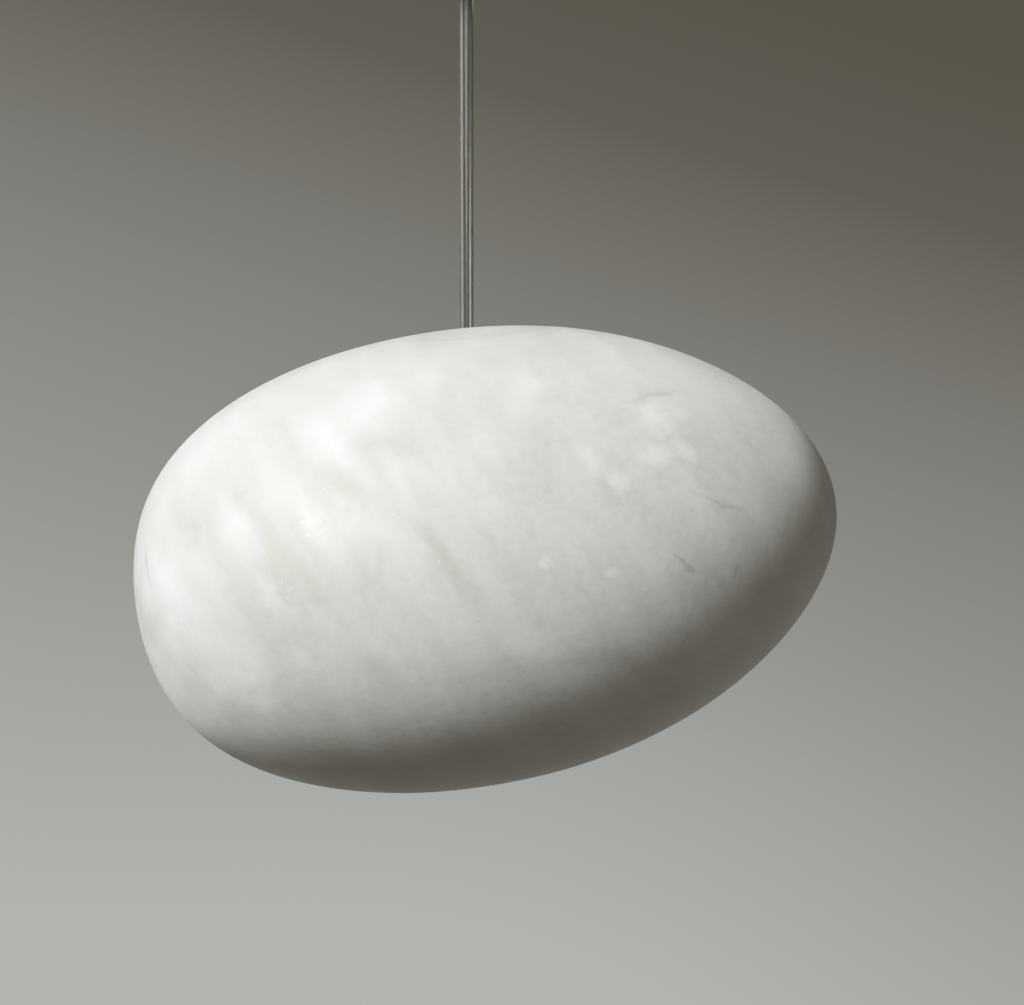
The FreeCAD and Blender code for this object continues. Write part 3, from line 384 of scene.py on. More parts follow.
# %% [markdown]
# Honed by hand, the stone isn't perfectly fair. Broad low waves, a third of a millimetre deep,
# and three shallow creases near the foot catch the light as they do in the photograph. They only
# go inward, so the pebble keeps its size. They are in the mesh itself and not in a texture.

# %% Waves and creases of a hand-honed stone
WAVE_LENGTH = 48
WAVE_DEPTH = 0.35
# Each crease: its two ends from left to right, the half width of its upper side, then its depth.
CREASES = (
    ((20, -403), (80, -399), 6, 0.35),
    ((-91, -441), (-53, -452), 7, 0.35),
    ((-143, -409), (-120, -427), 5, 0.3),
)
SLOW_SIDE = 4
# A crease is shallow at its ends: it uses this stretch of half a sine wave.
FADE_START, FADE_LENGTH = 0.15, 0.7


def crease_depth(x, z):
    """How deep the creases cut on the front of the stone. Each is steep above and slow below."""
    depth = 0
    for (x0, z0), (x1, z1), width, most in CREASES:
        run = Vector((x1 - x0, z1 - z0))
        reach = Vector((x - x0, z - z0))
        share = max(0, min(1, reach.dot(run) / run.length_squared))
        below = run.x * reach.y < run.y * reach.x
        away = (reach - run * share).length / (width * SLOW_SIDE if below else width)
        fade = math.sin(math.pi * (FADE_START + FADE_LENGTH * share))
        depth += most * fade * math.exp(-away * away)
    return depth


def honed(point):
    """The hung point moved inward by the waves and creases."""
    inward = (stone_centre - point).normalized()
    wave = 0.5 + 0.5 * noise.noise(point / WAVE_LENGTH)
    depth = WAVE_DEPTH * max(0, min(1, wave))
    if point.y < 0:
        depth += crease_depth(point.x, point.z)
    return point + inward * depth


print("deepest crease", round(crease_depth(50, -401), 2), "mm")

# %% [markdown]
# The directions come from a cube of square cells, blown up to a sphere. A globe of rings and
# segments would pinch the quads at its poles, where the light would catch, and here they stay even.

# %% The skins of the pebble
STONE_WALL = 14
HOLLOW_SHIFT = 1.5
CUBE_CELLS = 72


def blown_cube(cells):
    """A cube of square cells blown up to a unit sphere, with even quads."""
    ball = bmesh.new()
    bmesh.ops.create_cube(ball, size=2)
    bmesh.ops.subdivide_edges(ball, edges=ball.edges[:], cuts=cells - 1, use_grid_fill=True)
    for vertex in ball.verts:
        spread = [math.tan(c * math.pi / 4) for c in vertex.co]
        vertex.co = Vector(spread).normalized()
    return ball


def pebble_mesh(name, cells, inset=0, shift=0, finish=None):
    """A pebble, smaller by an inset and moved aside by a shift. finish moves each point last."""
    ball = blown_cube(cells)
    for vertex in ball.verts:
        place = hung(pebble_point(vertex.co, inset), shift)
        vertex.co = (finish(place) if finish else place) * MM
    return placed_shape(name, ball)


shell = pebble_mesh("pebble_shell", CUBE_CELLS, finish=honed)
outer_copy = placed("outer_copy", shell.data.copy())
inner_skin = pebble_mesh("inner_skin", CUBE_CELLS // 2, STONE_WALL, HOLLOW_SHIFT)
print("pebble:", len(shell.data.polygons), "outer faces")

# %% [markdown]
# ## Hollow, crown and cap
# The hollow follows the outside 14 mm in, and stops at a flat land under the crown. A 70 mm opening
# lets the lamp column through, and a wider seat above it takes a cap cut from the same stone. Exact
# booleans do here what the mason's core drill does.

# %% A core drill
DRILL_SIDES = 128
STONE_EDGE_ANGLE = 30


def drill(name, radius, low, high, sides=DRILL_SIDES):
    """An upright closed cylinder between two levels, to cut with."""
    body = bmesh.new()
    middle = Matrix.Translation(metres(0, 0, (low + high) / 2))
    bmesh.ops.create_cone(
        body, cap_ends=True, segments=sides, radius1=metres(radius), radius2=metres(radius),
        depth=metres(high - low), matrix=middle,
    )
    return placed_shape(name, body)


def carve(piece, operation, cutter):
    """Applies one exact boolean and removes the cutter."""
    modifier = piece.modifiers.new(operation, "BOOLEAN")
    modifier.operation = operation
    modifier.solver = "EXACT"
    modifier.object = cutter
    shape = bpy.data.meshes.new_from_object(piece.evaluated_get(bpy.context.evaluated_depsgraph_get()))
    piece.modifiers.clear()
    piece.data = shape
    bpy.data.objects.remove(cutter)


print("the drill has", DRILL_SIDES, "sides")

# %% [markdown]
# The inner skin loses all that is above the land, and what is left of it comes out of the shell.
# The opening and its seat are then drilled from above. The seat is wider and shallower than the
# opening, and leaves a ledge below the cap.

# %% Hollow the shell and cut its crown
LAND = -271
LEDGE = -250
OPENING_RADIUS = 35
SEAM_RADIUS = 43
# The drill starts above the stone and goes this far past the land. One cut is wider than the stone.
DRILL_TOP = -150
THROUGH = 5
WHOLE_STONE = 300

carve(inner_skin, "DIFFERENCE", drill("above_land", WHOLE_STONE, LAND, 0))
carve(shell, "DIFFERENCE", inner_skin)
carve(shell, "DIFFERENCE", drill("opening", OPENING_RADIUS, LAND - THROUGH, DRILL_TOP))
carve(shell, "DIFFERENCE", drill("seat", SEAM_RADIUS, LEDGE, DRILL_TOP))
crisp(shell.data, STONE_EDGE_ANGLE)
print("shell:", len(shell.data.polygons), "faces")

# %% [markdown]
# The cap is a round plug that ends in the stone's own outside, so its top runs on from the shell's
# with only a fine seam. It starts as a plain plug, and what it has in common with the uncut pebble
# is the cap. It has a hole for the cable, and a wider relief in its underside.

# %% The cap, cut from the same stone
CAP_FLOOR = -247
SEAM_GAP = 0.12
CAP_HOLE_RADIUS = 4
CAP_HOLE_SIDES = 48
RELIEF_RADIUS = 12
RELIEF_HEIGHT = 6
RELIEF_SIDES = 64
# The hole and the relief start just below the cap, so that they cut clean through its underside.
CUT_START = CAP_FLOOR - 1

cap = drill("pebble_cap", SEAM_RADIUS - SEAM_GAP, CAP_FLOOR, DRILL_TOP)
carve(cap, "INTERSECT", outer_copy)
cable_hole = drill("cable_hole", CAP_HOLE_RADIUS, CUT_START, DRILL_TOP, CAP_HOLE_SIDES)
carve(cap, "DIFFERENCE", cable_hole)
relief = drill("relief", RELIEF_RADIUS, CUT_START, CAP_FLOOR + RELIEF_HEIGHT, RELIEF_SIDES)
carve(cap, "DIFFERENCE", relief)
crisp(cap.data, STONE_EDGE_ANGLE)
for piece, body_name, node_name in ((shell, "pendant", "stone_shell"), (cap, "cap", "stone_cap")):
    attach(piece, body_name)
    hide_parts(node_name)
print("cap:", len(cap.data.polygons), "faces, seam", SEAM_GAP, "mm wide")

# %% [markdown]
# ## Thumb screws
# Two brass thumb screws hold the canopy to the ceiling plate. Their grip is a straight knurl, rolled
# into the head by a toothed wheel. A ring of points whose radius rises and falls gives one slice of
# the knurl, and rings of different sizes joined along the screw's line give the head, its chamfers
# and its dished end, as a lathe would.

# %% The thumb screw's rings
HEAD_START = 65.3
HEAD_LENGTH = 6
HEAD_RADIUS = 5
SHANK_RADIUS = 2
SHANK_START = 58
SCREW_LEVEL = -10
# Each ring: how far out from the head's start, its radius, and whether it is knurled.
SCREW_RINGS = (
    (SHANK_START - HEAD_START, 0.0, False),
    (SHANK_START - HEAD_START, SHANK_RADIUS - 0.3, False),
    (SHANK_START - HEAD_START + 0.3, SHANK_RADIUS, False),
    (0.0, SHANK_RADIUS, False),
    (0.0, HEAD_RADIUS - 0.7, False),
    (0.5, HEAD_RADIUS, True),
    (HEAD_LENGTH - 0.6, HEAD_RADIUS, True),
    (HEAD_LENGTH, HEAD_RADIUS - 0.8, False),
    (HEAD_LENGTH, HEAD_RADIUS - 1.4, False),
    (HEAD_LENGTH - 0.5, HEAD_RADIUS - 1.9, False),
    (HEAD_LENGTH - 0.5, 0.0, False),
)
print("a screw is turned from", len(SCREW_RINGS), "rings")

# %% [markdown]
# Six points to a tooth are enough for a rounded tooth. The teeth only go inward, so the knurl stays
# inside the head's real radius. The two screws point outward from the canopy's two sides, so one
# function turns both, with a side of 1 or -1.

# %% Turn and knurl the screws
KNURL_TEETH = 30
KNURL_DEPTH = 0.45
RING_POINTS = KNURL_TEETH * 6
SCREW_EDGE_ANGLE = 50
# Points nearer than this are one point, such as those of a ring with no radius.
MERGE_REACH = 0.001


def thumb_screw(name, side):
    """A turned and knurled screw along x, on the left for side -1 or the right for side 1."""
    screw = bmesh.new()
    rings = []
    for out, radius, knurled in SCREW_RINGS:
        ring = []
        for index in range(RING_POINTS):
            angle = 2 * math.pi * index / RING_POINTS
            tooth = KNURL_DEPTH * (0.5 - 0.5 * math.cos(angle * KNURL_TEETH)) if knurled else 0
            reach = radius - tooth
            ring.append(screw.verts.new(metres(
                side * (HEAD_START + out), reach * math.cos(angle), SCREW_LEVEL + reach * math.sin(angle),
            )))
        rings.append(ring)
    for inner, outer in zip(rings, rings[1:]):
        for index in range(RING_POINTS):
            after = (index + 1) % RING_POINTS
            screw.faces.new((inner[index], inner[after], outer[after], outer[index]))
    bmesh.ops.remove_doubles(screw, verts=screw.verts[:], dist=metres(MERGE_REACH))
    bmesh.ops.recalc_face_normals(screw, faces=screw.faces[:])
    piece = placed_shape(name, screw)
    crisp(piece.data, SCREW_EDGE_ANGLE)
    return piece


thumb_screws = [thumb_screw("thumb_screw_right", 1), thumb_screw("thumb_screw_left", -1)]
for piece in thumb_screws:
    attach(piece, "ceiling")
    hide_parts("canopy_screws")
print("each screw has", KNURL_TEETH, "teeth and", len(thumb_screws[0].data.polygons), "faces")

# %% [markdown]
# ## Alabaster, honed
# Alabaster is fine-grained gypsum. Honed, it is silky and not glossy, and light goes a few
# millimetres in and comes out again, so its shadows are soft. Its figure is cloudy and faint: the
# lightest cloud is hardly a tenth lighter than the darkest band. Noise alone would cloud it evenly
# all over, and this stone has figures of its own: slanting milky bands on the left, a nest of
# nodules high on the right, one pale oval near the tip. So the noise gives the general cloud and
# grain, and a short list places the figures that the eye would miss. One pale ellipse in that
# list is no figure but a painted highlight, on the lip above a crease.

# %% The stone's broad figures
# Each figure: across, level, half length, half width, slant down to the right in degrees, strength.
CLOUDS_AND_RIDGE_HIGHLIGHT = (
    (-44, -275, 13, 11, 0, 0.32),
    (-66, -292, 20, 10, 50, 0.32),
    (-81, -319, 20, 6, 52, 0.29),
    (-107, -335, 13, 7, 58, 0.32),
    (-91, -364, 8, 4, 60, 0.25),
    (-142, -364, 16, 9, 60, 0.36),
    (-61, -346, 20, 6, 58, 0.22),
    (-31, -311, 10, 7, 70, 0.14),
    (-16, -264, 10, 6, 90, 0.18),
    (27, -270, 12, 7, 90, 0.22),
    # A painted highlight: the light caught by the lip just above the first crease.
    (34, -391, 16, 8, 20, 0.32),
    (159, -303, 14, 9, 75, 0.5),
    (-104, -402, 34, 16, 24, 0.3),
)
DARK_BANDS = (
    (-88, -341, 30, 5, 52, -0.28),
    (-51, -316, 24, 5, 38, -0.24),
    (-8, -349, 20, 4, 55, -0.2),
    (-133, -334, 14, 7, 65, -0.24),
    (-36, -295, 14, 5, 10, -0.2),
    (67, -318, 8, 5, 60, -0.24),
    (-37, -401, 14, 6, 20, -0.2),
)
print(len(CLOUDS_AND_RIDGE_HIGHLIGHT), "clouds and", len(DARK_BANDS), "dark bands placed by hand")

# %% [markdown]
# The small figures are written in the same way. Nodules are pale rounded lumps, hairlines are fine
# dark lines, and two small dark inclusions lie towards the tip.

# %% The stone's small figures
NODULES = (
    (93, -281, 12, 8, 10, 0.46),
    (90, -300, 8, 6, 20, 0.46),
    (105, -298, 7, 3.5, 40, 0.42),
    (73, -313, 7, 4, 60, 0.38),
    (59, -301, 8, 5, 60, 0.26),
    (38, -350, 3.4, 3.2, 0, 0.42),
    (68, -355, 3.2, 2.8, 0, 0.42),
)
HAIRLINES = (
    (90, -272, 13, 1.4, -12, -0.32),
    (122, -323, 14, 1.2, 20, -0.38),
    (102, -350, 7, 0.6, 45, -0.63),
    (-154, -350, 16, 0.7, 75, -0.38),
)
INCLUSIONS = (
    (107, -355, 1.9, 1.4, 30, -1.62),
    (129, -355, 3.2, 1.0, 100, -1.62),
)
print(len(NODULES), "nodules,", len(HAIRLINES), "hairlines and", len(INCLUSIONS), "inclusions")

# %% [markdown]
# Each figure is an ellipse. A Mapping node moves, turns and scales the stone's own coordinates
# until the ellipse is a unit ball, and the distance from its middle then says how much of the
# figure a point has. All the figures add up in one running sum. A noise joins the same sum by a
# weight, counted from its middle value, so that it lightens as much as it darkens.

# %% Two ways to add to the figure
# An ellipse reaches this far through the stone, so that it is a figure of the whole front.
FIGURE_DEPTH = 1000
NOISE_MIDDLE = 0.5


def with_ellipse(tree, place, ellipse, edges, figure):
    """Adds one ellipse to the figure. It fades out between two shares of its own size."""
    across, level, half_length, half_width, slant, strength = ellipse
    local = add(tree, "ShaderNodeMapping", {
        "Vector": place, "Location": metres(across, 0, level), "Rotation": (0, math.radians(slant), 0),
        "Scale": metres(half_length, FIGURE_DEPTH, half_width),
    }, vector_type="TEXTURE")
    away = add(tree, "ShaderNodeVectorMath", {0: local.outputs["Vector"]}, operation="LENGTH")
    height = add(tree, "ShaderNodeMapRange", {
        "Value": away.outputs["Value"], "From Min": edges[0], "From Max": edges[1],
        "To Min": strength, "To Max": 0,
    }, interpolation_type="SMOOTHSTEP")
    return add(tree, "ShaderNodeMath", {0: figure, 1: height.outputs[0]}, operation="ADD").outputs[0]


def with_noise(tree, value, weight, figure):
    """Adds a noise value, counted from its middle, to the figure by a weight."""
    centred = add(tree, "ShaderNodeMath", {0: value, 1: NOISE_MIDDLE}, operation="SUBTRACT")
    return add(tree, "ShaderNodeMath", {
        0: centred.outputs[0], 1: weight, 2: figure,
    }, operation="MULTIPLY_ADD").outputs[0]


print("a cloud of strength 0.3 lightens the figure by 0.3 in its middle")

# %% [markdown]
# The ellipses would look drawn with a compass, so the coordinates wander first, by up to 5 mm over
# 16 mm. Broad figures fade out from their middle. Small ones hold longer and end more sharply.
# They belong to the front of the stone, and fade away before its widest line.

# %% The stone's own figures, with wandering edges
WANDER_SIZE = 16
WANDER_REACH = 5
BROAD_EDGES = (0, 1.7)
SMALL_EDGES = (0.2, 1.5)
FRONT_END = -35
BACK_START = -5

# Soft, silky and softly clouded, with no hard highlight and no dark edge.
honed_alabaster, stone, stone_shader, place = new_material("honed_alabaster")
wander = add(stone, "ShaderNodeTexNoise", {
    "Vector": place, "Scale": per_metre(WANDER_SIZE), "Detail": 4, "Roughness": 0.6,
})
off_middle = add(stone, "ShaderNodeVectorMath", {
    0: wander.outputs["Color"], 1: [NOISE_MIDDLE] * 3,
}, operation="SUBTRACT")
wandering = add(stone, "ShaderNodeVectorMath", {
    0: off_middle.outputs[0], 1: metres(WANDER_REACH, WANDER_REACH, WANDER_REACH) * 2, 2: place,
}, operation="MULTIPLY_ADD").outputs[0]
figure = 0.0
for ellipses, edges in ((CLOUDS_AND_RIDGE_HIGHLIGHT + DARK_BANDS, BROAD_EDGES), (NODULES + HAIRLINES + INCLUSIONS, SMALL_EDGES)):
    for ellipse in ellipses:
        figure = with_ellipse(stone, wandering, ellipse, edges, figure)
depth = add(stone, "ShaderNodeSeparateXYZ", {0: place}).outputs["Y"]
front = add(stone, "ShaderNodeMapRange", {
    "Value": depth, "From Min": metres(FRONT_END), "From Max": metres(BACK_START), "To Min": 1, "To Max": 0,
})
figure = add(stone, "ShaderNodeMath", {
    0: figure, 1: front.outputs[0], 2: NOISE_MIDDLE,
}, operation="MULTIPLY_ADD").outputs[0]
print("figures take", len(stone.nodes), "nodes")

# %% [markdown]
# The general figure comes on top: clouds about 90 mm across, finer bands that slant down to the
# right as the beds of the stone lie, and here and there a nest of nodules, which are the rounded
# cells of a Voronoi pattern.

# %% Clouds, slanting bands and nests of nodules
CLOUD_SIZE = 90
CLOUD_WEIGHT = 0.9
BAND_LENGTH = 60
BAND_WIDTH = 15
BAND_SLANT = 56
BAND_WEIGHT = 0.7
NODULE_SIZE = 17
NODULE_MIDDLE = 0.45
NEST_SIZE = 130
NEST_EDGES = (0.52, 0.66)
NEST_STRENGTH = -0.5

clouds = add(stone, "ShaderNodeTexNoise", {
    "Vector": place, "Scale": per_metre(CLOUD_SIZE), "Detail": 4, "Distortion": 0.4,
})
figure = with_noise(stone, clouds.outputs["Fac"], CLOUD_WEIGHT, figure)
slanted = add(stone, "ShaderNodeMapping", {
    "Vector": wandering, "Rotation": (0, math.radians(BAND_SLANT), 0),
    "Scale": metres(BAND_LENGTH, BAND_LENGTH, BAND_WIDTH),
}, vector_type="TEXTURE")
bands = add(stone, "ShaderNodeTexNoise", {"Vector": slanted.outputs["Vector"], "Scale": 1, "Detail": 3})
figure = with_noise(stone, bands.outputs["Fac"], BAND_WEIGHT, figure)
cells = add(stone, "ShaderNodeTexVoronoi", {
    "Vector": wandering, "Scale": per_metre(NODULE_SIZE), "Smoothness": 0.5,
}, feature="SMOOTH_F1")
nodule = add(stone, "ShaderNodeMath", {0: cells.outputs["Distance"], 1: NODULE_MIDDLE}, operation="SUBTRACT")
nests = add(stone, "ShaderNodeTexNoise", {"Vector": place, "Scale": per_metre(NEST_SIZE), "Detail": 1})
nest = add(stone, "ShaderNodeMapRange", {
    "Value": nests.outputs["Fac"], "From Min": NEST_EDGES[0], "From Max": NEST_EDGES[1],
    "To Min": 0, "To Max": NEST_STRENGTH,
})
figure = add(stone, "ShaderNodeMath", {
    0: nodule.outputs[0], 1: nest.outputs[0], 2: figure,
}, operation="MULTIPLY_ADD").outputs[0]
print("with clouds, bands and nests,", len(stone.nodes), "nodes")

# %% [markdown]
# Close to, the honed face is mottled where the crystals end. The lower right of this stone is the
# pitted side and the upper left is smooth, so a slope across the stone sets how strong the mottle
# is. The same mottle works in the colour and, further on, in the relief. In the colour its dark
# spots are painted shade in the pits, strongest towards the lower right, where the light grazes.

# %% Mottle of the pitted side, with painted shade in its pits
MOTTLE_SIZE = 4.5
MOTTLE_WEIGHT = 0.7
PITTED_AND_SHADED_WAY = (0.55, 0, -0.83)
PITTED_AND_SHADED_FROM = 220
PITTED_AND_SHADED_TO = 330
SMOOTH_AND_LIT_SIDE_SHARE = 0.35

mottle = add(stone, "ShaderNodeTexNoise", {
    "Vector": place, "Scale": per_metre(MOTTLE_SIZE), "Detail": 4, "Roughness": 0.65,
})
down_right = add(stone, "ShaderNodeVectorMath", {0: place, 1: PITTED_AND_SHADED_WAY}, operation="DOT_PRODUCT")
pitted_and_shaded = add(stone, "ShaderNodeMapRange", {
    "Value": down_right.outputs["Value"], "From Min": metres(PITTED_AND_SHADED_FROM), "From Max": metres(PITTED_AND_SHADED_TO),
    "To Min": SMOOTH_AND_LIT_SIDE_SHARE, "To Max": 1.0,
})
pits_and_pit_shade = add(stone, "ShaderNodeMath", {
    0: mottle.outputs["Fac"], 1: pitted_and_shaded.outputs[0],
}, operation="MULTIPLY").outputs[0]
# Pits are the mottle times its share. What the share takes from the middle value is given back.
given_back = add(stone, "ShaderNodeMath", {
    0: pitted_and_shaded.outputs[0], 1: -NOISE_MIDDLE, 2: NOISE_MIDDLE,
}, operation="MULTIPLY_ADD")
# In the colour, the mottle's dark spots are painted shade in the pits, stronger to the lower right.
mottle_and_painted_pit_shade = add(stone, "ShaderNodeMath", {0: pits_and_pit_shade, 1: given_back.outputs[0]}, operation="ADD")
figure = with_noise(stone, mottle_and_painted_pit_shade.outputs[0], MOTTLE_WEIGHT, figure)
print("with mottle,", len(stone.nodes), "nodes")

# %% [markdown]
# The figure picks the colour: a faintly warm grey in the bands, near white in the clouds. Rare
# crystals, about a millimetre across, show as white specks in the darker bands.

# %% The stone's colours and specks
BAND_GREY = "#d9d7cf"
STONE_WHITE = "#e9eae7"
CLOUD_WHITE = "#f8f9f8"
CRYSTAL_WHITE = "#fcfcfb"
CRYSTAL_SPACING = 5
# A speck is white up to the first share of that spacing and gone at the second.
SPECK_EDGES = (0.05, 0.13)
# Specks show where the bands are darker than the first value, and fully from the second on.
SPECK_BANDS = (0.5, 0.4)
SPECK_STRENGTH = 0.8

colours = add(stone, "ShaderNodeValToRGB", {"Fac": figure})
colours.color_ramp.elements[0].color = linear(BAND_GREY)
colours.color_ramp.elements[1].color = linear(CLOUD_WHITE)
colours.color_ramp.elements.new(NOISE_MIDDLE).color = linear(STONE_WHITE)
crystals = add(stone, "ShaderNodeTexVoronoi", {"Vector": place, "Scale": per_metre(CRYSTAL_SPACING)})
near = add(stone, "ShaderNodeMapRange", {
    "Value": crystals.outputs["Distance"], "From Min": SPECK_EDGES[0], "From Max": SPECK_EDGES[1],
    "To Min": 1, "To Max": 0,
})
rare = add(stone, "ShaderNodeMapRange", {
    "Value": bands.outputs["Fac"], "From Min": SPECK_BANDS[0], "From Max": SPECK_BANDS[1],
    "To Min": 0, "To Max": SPECK_STRENGTH,
})
speck = add(stone, "ShaderNodeMath", {0: near.outputs[0], 1: rare.outputs[0]}, operation="MULTIPLY")
speckled = add(stone, "ShaderNodeMix", {
    "Factor": speck.outputs[0], "A": colours.outputs["Color"], "B": linear(CRYSTAL_WHITE),
}, data_type="RGBA")
stone.links.new(speckled.outputs["Result"], stone_shader.inputs["Base Color"])
print("stone from", BAND_GREY, "to", CLOUD_WHITE)

# %% [markdown]
# Honing leaves a silky face: a roughness near a half that drifts with the mottle, pits a tenth of
# a millimetre deep and a fine grain. The subsurface part lets light in by a few millimetres, a
# little less in blue, and the diffuse roughness keeps the edge of the stone from going dark.

# %% The honed face, and light in the stone
SILK = (0.44, 0.56)
MOTTLE_RANGE = (0.3, 0.7)
PIT_DEPTH = 0.12
GRAIN_SIZE = 0.9
GRAIN_DEPTH = 0.015
GYPSUM_IOR = 1.52
FACE_ROUGHNESS = 0.8
LIGHT_INSIDE = 0.3
LIGHT_REACH = 5
REACH_BY_COLOUR = (1.0, 0.95, 0.88)

silk = add(stone, "ShaderNodeMapRange", {
    "Value": mottle.outputs["Fac"], "From Min": MOTTLE_RANGE[0], "From Max": MOTTLE_RANGE[1],
    "To Min": SILK[0], "To Max": SILK[1],
})
stone.links.new(silk.outputs[0], stone_shader.inputs["Roughness"])
grain = add(stone, "ShaderNodeTexNoise", {"Vector": place, "Scale": per_metre(GRAIN_SIZE), "Detail": 3})
pitting = add(stone, "ShaderNodeBump", {"Height": pits_and_pit_shade, "Strength": 1.0, "Distance": metres(PIT_DEPTH)})
grained = add(stone, "ShaderNodeBump", {
    "Height": grain.outputs["Fac"], "Strength": 1.0, "Distance": metres(GRAIN_DEPTH),
    "Normal": pitting.outputs["Normal"],
})
stone.links.new(grained.outputs["Normal"], stone_shader.inputs["Normal"])
stone_shader.inputs["IOR"].default_value = GYPSUM_IOR
stone_shader.inputs["Diffuse Roughness"].default_value = FACE_ROUGHNESS
stone_shader.inputs["Subsurface Weight"].default_value = LIGHT_INSIDE
stone_shader.inputs["Subsurface Radius"].default_value = REACH_BY_COLOUR
stone_shader.inputs["Subsurface Scale"].default_value = metres(LIGHT_REACH)
for piece in (shell, cap):
    dress(piece, honed_alabaster)
print("alabaster on", shell.name, "and", cap.name, "with", len(stone.nodes), "nodes")

# %% [markdown]
# ## Plainer finishes
# The other finishes are bare metals, coated metals, plastics, rubber and glass-like plastics. They
# share one build: a colour that drifts a little, a roughness that drifts with it, and a fine bump.
# What differs is the real finish: its colours, its gloss, its pattern's size and its direction.

# %% A finish from its real values
# Wear and handling drift slowly: over this many times the size of the fine pattern.
DRIFT_TIMES = 12
BLEND_RANGE = {"From Min": 0.7, "From Max": 1.3}
BUMP_STRENGTH = 0.4


def finish_of(name, colours, rough, pattern_size, relief, stretch=(1, 1, 1), metal=False, ior=None, **more):
    """A finish. pattern_size and relief are millimetres, rough is a pair, stretch draws it out."""
    made, tree, shader, place = new_material(name)
    stretched = add(tree, "ShaderNodeMapping", {"Vector": place, "Scale": [1 / s for s in stretch]})
    pattern = add(tree, "ShaderNodeTexNoise", {
        "Vector": stretched.outputs["Vector"], "Scale": per_metre(pattern_size), "Detail": 3,
    })
    drift = add(tree, "ShaderNodeTexNoise", {"Vector": place, "Scale": per_metre(pattern_size * DRIFT_TIMES)})
    blend = add(tree, "ShaderNodeMath", {0: pattern.outputs["Fac"], 1: drift.outputs["Fac"]}, operation="ADD")
    share = add(tree, "ShaderNodeMapRange", {"Value": blend.outputs[0], **BLEND_RANGE})
    mixed = add(tree, "ShaderNodeMix", {
        "Factor": share.outputs[0], "A": linear(colours[0]), "B": linear(colours[1]),
    }, data_type="RGBA")
    tree.links.new(mixed.outputs["Result"], shader.inputs["Base Color"])
    gloss = add(tree, "ShaderNodeMapRange", {
        "Value": blend.outputs[0], "To Min": rough[0], "To Max": rough[1], **BLEND_RANGE,
    })
    tree.links.new(gloss.outputs[0], shader.inputs["Roughness"])
    bump = add(tree, "ShaderNodeBump", {
        "Height": pattern.outputs["Fac"], "Strength": BUMP_STRENGTH, "Distance": metres(relief),
    })
    tree.links.new(bump.outputs["Normal"], shader.inputs["Normal"])
    if metal:
        shader.inputs["Metallic"].default_value = 1.0
    if ior:
        shader.inputs["IOR"].default_value = ior
    for socket, value in more.items():
        shader.inputs[socket.replace("_", " ")].default_value = value
    return made


finishes = {}
print("a finish drifts over", DRIFT_TIMES, "times its own pattern")

# %% [markdown]
# The cable's finishes are what the photograph shows most closely. The jacket is clear and a little
# milky with age, and bends the wall behind it like a rod of glass. The cores and the strand are
# bundles of fine wires under plastic, so they shine in a broad dull line and not in a sharp one.

# %% Finishes of the cable
# Clear and glossy, and just milky enough to be seen against the wall.
finishes["clear_pvc"] = finish_of(
    "clear_soft_pvc", ("#f2f2ee", "#fafaf8"), (0.03, 0.07), 4, 0.02, ior=1.54, Transmission_Weight=0.95,
)
# Two darker lines inside the jacket, with a broad dull shine.
finishes["tinned_copper"] = finish_of(
    "tinned_copper", ("#807e77", "#908e87"), (0.58, 0.68), 0.5, 0.03, metal=True,
)
# A thinner line that is a little lighter than the cores.
finishes["steel_strand"] = finish_of(
    "bright_steel_wire", ("#8b8a84", "#9a9993"), (0.6, 0.7), 0.3, 0.02, metal=True,
)
for piece, slot_name in ((jacket, "clear_pvc"), (cores, "tinned_copper"), (strand, "steel_strand")):
    dress(piece, finishes[slot_name])
print("cable dressed in", len(finishes), "finishes")

# %% [markdown]
# A lathe leaves fine rings round a turned part. The pattern is drawn out across the part's axis
# and kept short along it, so that it reads as rings. Plating and casting have no such direction.

# %% Metals
# Stretches a pattern round an upright axis: long across it, short along it.
AROUND = (14, 14, 0.6)

# Fresh from the lathe, grey, with a sheen that turns as the part turns.
finishes["turned_steel"] = finish_of(
    "turned_steel", ("#9fa0a0", "#b9baba"), (0.25, 0.4), 0.6, 0.01, AROUND, metal=True,
)
# A thin bluish coat of zinc on sheet steel, with a soft cloudy spangle.
finishes["zinc_plated_steel"] = finish_of(
    "zinc_plated_steel", ("#a7abb0", "#c3c6c8"), (0.32, 0.48), 3, 0.01, metal=True,
)
# Warm yellow, with the fine rings of the lathe.
finishes["brass"] = finish_of(
    "machined_brass", ("#b99a58", "#cdb172"), (0.24, 0.36), 0.6, 0.01, AROUND, metal=True,
)
# The same brass, darkened a little where fingers grip the knurl.
finishes["knurled_brass"] = finish_of(
    "knurled_brass", ("#b0904f", "#cbae6d"), (0.26, 0.4), 0.5, 0.01, metal=True,
)
# Lighter and softer in its shine than steel, with lathe rings.
finishes["turned_aluminium"] = finish_of(
    "turned_aluminium", ("#bfc0c1", "#d2d3d4"), (0.28, 0.4), 0.6, 0.01, AROUND, metal=True,
)
for screw in thumb_screws:
    dress(screw, finishes["knurled_brass"])
print(len(finishes), "finishes so far")

# %% [markdown]
# The rest is coated or moulded. A powder coat is sprayed as dust and baked, which leaves a faint
# orange-peel face. Moulded plastics carry the fine spark texture of their mould, and rubber is the
# dullest of all.

# %% Coat, plastics and rubber
# White, matt to satin, with the faint orange peel of a baked powder.
finishes["powder_coat"] = finish_of(
    "white_powder_coat", ("#e3e2dd", "#eceae6"), (0.42, 0.55), 0.7, 0.03, ior=1.5,
)
# A milky white that slides well and looks waxy.
finishes["acetal"] = finish_of("white_acetal", ("#e9e8e2", "#f1f0ec"), (0.35, 0.45), 2, 0.01, ior=1.48)
